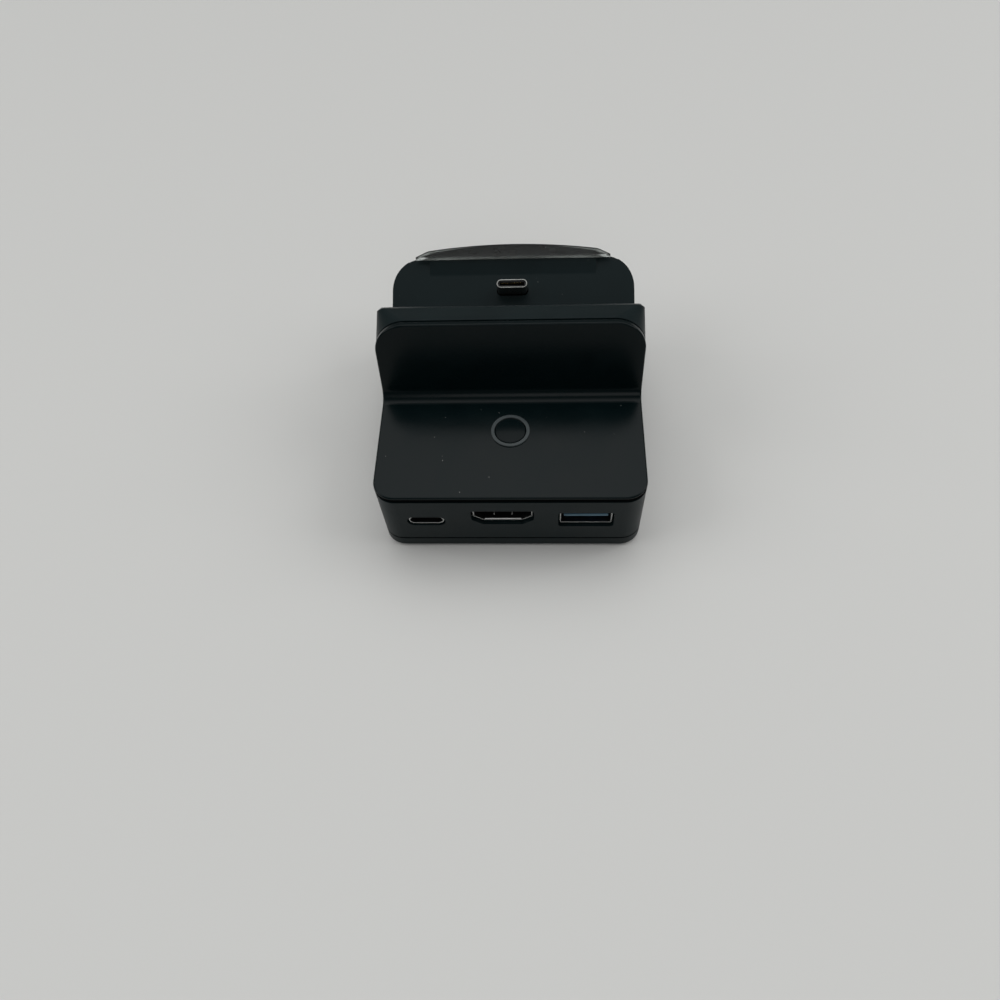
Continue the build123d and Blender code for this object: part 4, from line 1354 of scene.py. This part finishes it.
@dataclass
class SocketAssembly:
    """The three sockets on the port face, sizes in metres."""

    finishes: Finishes
    power_contacts: ContactRow
    video_springs: ContactRow
    tongue_height: float = 0.0007
    contact_setback: float = 0.0004
    spring_setback: float = 0.0012
    spring_slope: float = math.radians(18.0)
    video_floor: float = 0.0125
    nose_width: float = 0.0111
    nose_height: float = 0.0008
    nose_middle_height: float = 0.0142
    nose_reach: float = 0.00075
    nose_round: float = 0.00012
    lip_length: float = 0.0093
    lip_depth: float = 0.0003
    lip_height: float = 0.0002
    lip_middle_height: float = 0.01231
    lip_chamfer: float = 0.00016
    rims: tuple[SocketRim, ...] = (
        SocketRim("power_socket_shell", 0.00896, 0.00318, 0.013, 0.00157),
        SocketRim(
            "video_socket_shell", 0.01502, 0.00552, 0.0147, 0.0005, cut_x=0.0026, cut_z=0.002
        ),
        SocketRim("data_socket_shell", 0.01312, 0.00572, 0.0137, 0.0005),
    )

    def build(self) -> None:
        """Dress the sockets and add their rims, contacts, springs, lip and nose."""
        # The socket shells wear steel painted dark as painted shade.
        self.finishes.dress(
            Finishes.PAINTED_SHADE_SOCKET_STEEL,
            "power_socket_shell",
            "video_socket_shell",
            "data_socket_shell",
        )
        self.finishes.dress(Finishes.BLACK_INSULATOR, "power_socket_tongue", "video_socket_tongue")
        self.finishes.dress(Finishes.BLUE_INSULATOR, "data_socket_tongue")
        self.finishes.dress(Finishes.GILT_CONTACT, "video_socket_contacts", "data_socket_contacts")
        for rim in self.rims:
            rim.build(self.finishes)
        self.add_power_contacts()
        self.add_video_springs()
        self.add_video_lip()
        self.add_data_nose()

    def add_power_contacts(self) -> None:
        """Lay contact strips on both sides of the power socket's tongue."""
        low, high = map(Vector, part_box("power_socket_tongue"))
        middle = (low + high) / 2
        lift = self.tongue_height / 2 + self.power_contacts.thickness / 4
        places = []
        for side in (-1, 1):
            spot = Vector((middle.x, low.y + self.contact_setback, middle.z + side * lift))
            places.append(Matrix.Translation(spot))
        mesh = stamped(self.power_contacts.shape(), places)
        self.finishes.piece("power_contacts", mesh, Finishes.GILT_CONTACT, "gilt_contact")

    def add_video_springs(self) -> None:
        """Raise two earth springs from the floor of the video socket."""
        low, high = map(Vector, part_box("video_socket_shell"))
        spot = Vector(((low.x + high.x) / 2, low.y + self.spring_setback, self.video_floor))
        place = Matrix.Translation(spot) @ Matrix.Rotation(self.spring_slope, 4, "X")
        mesh = stamped(self.video_springs.shape(), [place])
        self.finishes.piece("video_springs", mesh, Finishes.PLUG_STEEL, "plated_steel")

    def add_video_lip(self) -> None:
        """Turn up the chamfered lower lip of the video socket's mouth."""
        low, high = map(Vector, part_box("video_socket_shell"))
        mesh = bmesh.new()
        block(mesh, (self.lip_length, self.lip_depth, self.lip_height))
        ridge = [
            edge for edge in mesh.edges if all(end.co.y < 0 < end.co.z for end in edge.verts)
        ]
        ease(mesh, ridge, self.lip_chamfer, 1)
        spot = ((low.x + high.x) / 2, low.y + self.lip_depth / 2, self.lip_middle_height)
        bmesh.ops.translate(mesh, vec=spot, verts=mesh.verts[:])
        self.finishes.piece("video_mouth_lip", mesh, Finishes.BRIGHT_RIM, "plated_steel")

    def add_data_nose(self) -> None:
        """Put the rounded nose on the front of the data socket's tongue, painted paler blue as
        painted light on its front face.
        """
        low, high = map(Vector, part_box("data_socket_tongue"))
        across = (low.x + high.x) / 2
        mesh = bmesh.new()
        made = block(mesh, (self.nose_width, self.nose_reach, self.nose_height))
        spot = (across, low.y - self.nose_reach / 2, self.nose_middle_height)
        bmesh.ops.translate(mesh, vec=spot, verts=made)
        ease(mesh, mesh.edges[:], self.nose_round, 3)
        finish = Finishes.BLUE_INSULATOR_PAINTED_LIGHT
        self.finishes.piece("data_tongue_nose", mesh, finish, "blue_insulator")


@dataclass
class PlugAssembly:
    """Leaning console plug, its sleeve and its board."""

    finishes: Finishes
    contacts: ContactRow
    mouth_height: float = 0.0009
    plug_height: float = 0.0024
    lean: float = math.radians(27.0)
    tip_setback: float = 0.0007

    def build(self) -> None:
        """Dress the plug, its board and screws, and add its contacts."""
        self.finishes.dress(Finishes.PLUG_STEEL, "console_plug_shell")
        self.finishes.dress(Finishes.BLACK_INSULATOR, "console_plug_core")
        self.finishes.dress(Finishes.SLEEVE_PLASTIC, "plug_sleeve")
        self.finishes.dress(Finishes.BOARD_LAMINATE, "plug_board")
        self.finishes.dress(Finishes.SCREW_STEEL, "plug_board_screws")
        self.finishes.dress(Finishes.RIBBON_SOCKET, "plug_ribbon_socket")
        self.add_contacts()

    def tip_place(self) -> Matrix:
        """Give the transform from the plug's own axes, tip along +Z, to the dock's frame.

        Returns:
            The transform of a piece at the middle of the plug's tip.
        """
        low, high = map(Vector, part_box("console_plug_shell"))
        turn = Matrix.Rotation(self.lean, 4, "X")
        half = self.plug_height / 2
        across = low.y + half * math.cos(self.lean)
        height = high.z - half * math.sin(self.lean)
        return Matrix.Translation((0, across, height)) @ turn

    def add_contacts(self) -> None:
        """Set two rows of contact springs in the plug's mouth."""
        lift = self.mouth_height / 2 - self.contacts.thickness / 2
        inward = Matrix.Rotation(-math.pi / 2, 4, "X")
        places = []
        for side in (-1, 1):
            shift = Matrix.Translation((0, side * lift, -self.tip_setback))
            places.append(self.tip_place() @ shift @ inward)
        mesh = stamped(self.contacts.shape(), places)
        self.finishes.piece("plug_contacts", mesh, Finishes.GILT_CONTACT, "gilt_contact")


@dataclass
class BoardAssembly:
    """Main board and what is soldered to it."""

    finishes: Finishes

    def build(self) -> None:
        """Dress the board and its components."""
        self.finishes.dress(Finishes.BOARD_LAMINATE, "main_board")
        self.finishes.dress(Finishes.SCREW_STEEL, "board_screws")
        self.finishes.dress(Finishes.CHIP_RESIN, "video_chip", "power_chip")
        self.finishes.dress(Finishes.COIL_FERRITE, "choke_coil")
        self.finishes.dress(Finishes.CAPACITOR_CAN, "board_capacitors")
        self.finishes.dress(Finishes.RIBBON_SOCKET, "board_ribbon_socket")
        self.finishes.dress(Finishes.RIBBON_FILM, "ribbon_cable")


@dataclass(frozen=True)
class SoftLamp:
    """A square soft box that looks at a point, sizes in metres."""

    name: str
    place: Triple
    side: float
    power: float
    colour: Colour = (1.0, 1.0, 1.0)

    def build(self, target: Vector) -> None:
        """Hang the lamp and turn it to the target.

        Args:
            target: The point that it looks at.
        """
        data = bpy.data.lights.new(self.name, "AREA")
        data.shape = "SQUARE"
        data.size = self.side
        data.energy = self.power
        data.color = self.colour
        lamp = bpy.data.objects.new(self.name, data)
        bpy.context.scene.collection.objects.link(lamp)
        lamp.location = self.place
        aim = target - Vector(self.place)
        lamp.rotation_euler = aim.to_track_quat("-Z", "Y").to_euler()


@dataclass
class Studio:
    """Floor, soft light and the camera at the photograph's viewing angle."""

    floor_side: float = 6.0
    floor_colour: Colour = (0.6, 0.6, 0.588)
    floor_roughness: float = 0.75
    floor_shine: float = 0.2
    dim_colour: Colour = (0.16, 0.162, 0.16)
    bright_colour: Colour = (2.3, 2.31, 2.3)
    bright_side: Triple = (0.0, 0.545, 0.839)
    bright_span: Span = (0.65, 1.0)
    horizon_span: Span = (0.4, 0.9)
    focal_length: float = 29.124
    sensor_width: float = 36.0
    nearest_view: float = 0.01
    camera_place: Triple = (0.00826, -0.13987, 0.19029)
    camera_right: Triple = (0.99857, 0.02537, -0.04690)
    camera_up: Triple = (0.00275, 0.85393, 0.52039)
    lamps: tuple[SoftLamp, ...] = (
        SoftLamp("right soft box", (1.1, 0.1, 0.9), 0.9, 6.0),
        SoftLamp("left soft box", (-1.2, -0.1, 0.9), 0.9, 6.0),
        SoftLamp("front soft box", (0.1, -1.0, 0.9), 0.6, 1.6),
    )

    def build(self) -> None:
        """Lay the floor, light the room and set the camera."""
        self.add_floor()
        self.light_room()
        low, high = map(Vector, CAD_BOX)
        for lamp in self.lamps:
            lamp.build((low + high) / 2)
        self.add_camera()
        bpy.context.scene.view_settings.view_transform = "Standard"

    def add_floor(self) -> None:
        """Lay a plain pale floor under the dock."""
        mesh = bmesh.new()
        bmesh.ops.create_grid(mesh, x_segments=1, y_segments=1, size=self.floor_side / 2)
        data = bpy.data.meshes.new("floor")
        mesh.to_mesh(data)
        mesh.free()
        material, bench, shader = opened("pale floor")
        bench.feed(
            shader,
            {
                "Base Color": rgba(self.floor_colour),
                "Roughness": self.floor_roughness,
                "Specular IOR Level": self.floor_shine,
            },
        )
        data.materials.append(material)
        floor = bpy.data.objects.new("floor", data)
        bpy.context.scene.collection.objects.link(floor)

    def light_room(self) -> None:
        """Light the room by a glow above and behind the dock that fades to the horizon."""
        world = bpy.data.worlds.new("pale room")
        world.use_nodes = True
        bench = NodeBench(world.node_tree)
        place = bench.add("ShaderNodeTexCoord")
        likeness = bench.add("ShaderNodeVectorMath", operation="DOT_PRODUCT")
        likeness.inputs[1].default_value = self.bright_side
        bench.join(place.outputs["Generated"], likeness.inputs[0])
        glow = bench.ramp(likeness.outputs["Value"], self.bright_span)
        rise = bench.axis(place.outputs["Generated"], "Z")
        height = bench.ramp(rise, self.horizon_span)
        share = bench.math("MULTIPLY", glow, height)
        sky = bench.add("ShaderNodeBackground")
        bench.join(bench.blend(share, self.dim_colour, self.bright_colour), sky.inputs["Color"])
        result = bench.add("ShaderNodeOutputWorld")
        bench.join(sky.outputs["Background"], result.inputs["Surface"])
        bpy.context.scene.world = world

    def add_camera(self) -> None:
        """Set the camera where the photograph was taken from."""
        data = bpy.data.cameras.new("photo camera")
        data.sensor_width = self.sensor_width
        data.lens = self.focal_length
        data.clip_start = self.nearest_view
        camera = bpy.data.objects.new("photo camera", data)
        bpy.context.scene.collection.objects.link(camera)
        right = Vector(self.camera_right).normalized()
        back = right.cross(Vector(self.camera_up)).normalized()
        turn = Matrix((right, back.cross(right), back)).transposed()
        camera.matrix_world = Matrix.Translation(self.camera_place) @ turn.to_4x4()
        bpy.context.scene.camera = camera


def main() -> None:
    """Build every sub-assembly and the studio."""
    logging.basicConfig(level=logging.INFO, format="%(name)s: %(message)s")
    finishes = Finishes()
    BaseAssembly(finishes).build()
    ShellAssembly(finishes).build()
    ButtonAssembly(finishes).build()
    power_row = ContactRow(12, pitch=0.0005, width=0.00026, thickness=0.00012, length=0.0032)
    spring_row = ContactRow(2, pitch=0.0046, width=0.0005, thickness=0.00016, length=0.002)
    plug_row = ContactRow(12, pitch=0.0005, width=0.00026, thickness=0.00018, length=0.0034)
    SocketAssembly(finishes, power_row, spring_row).build()
    PlugAssembly(finishes, plug_row).build()
    BoardAssembly(finishes).build()
    Studio().build()


if __name__ == "__main__":
    main()
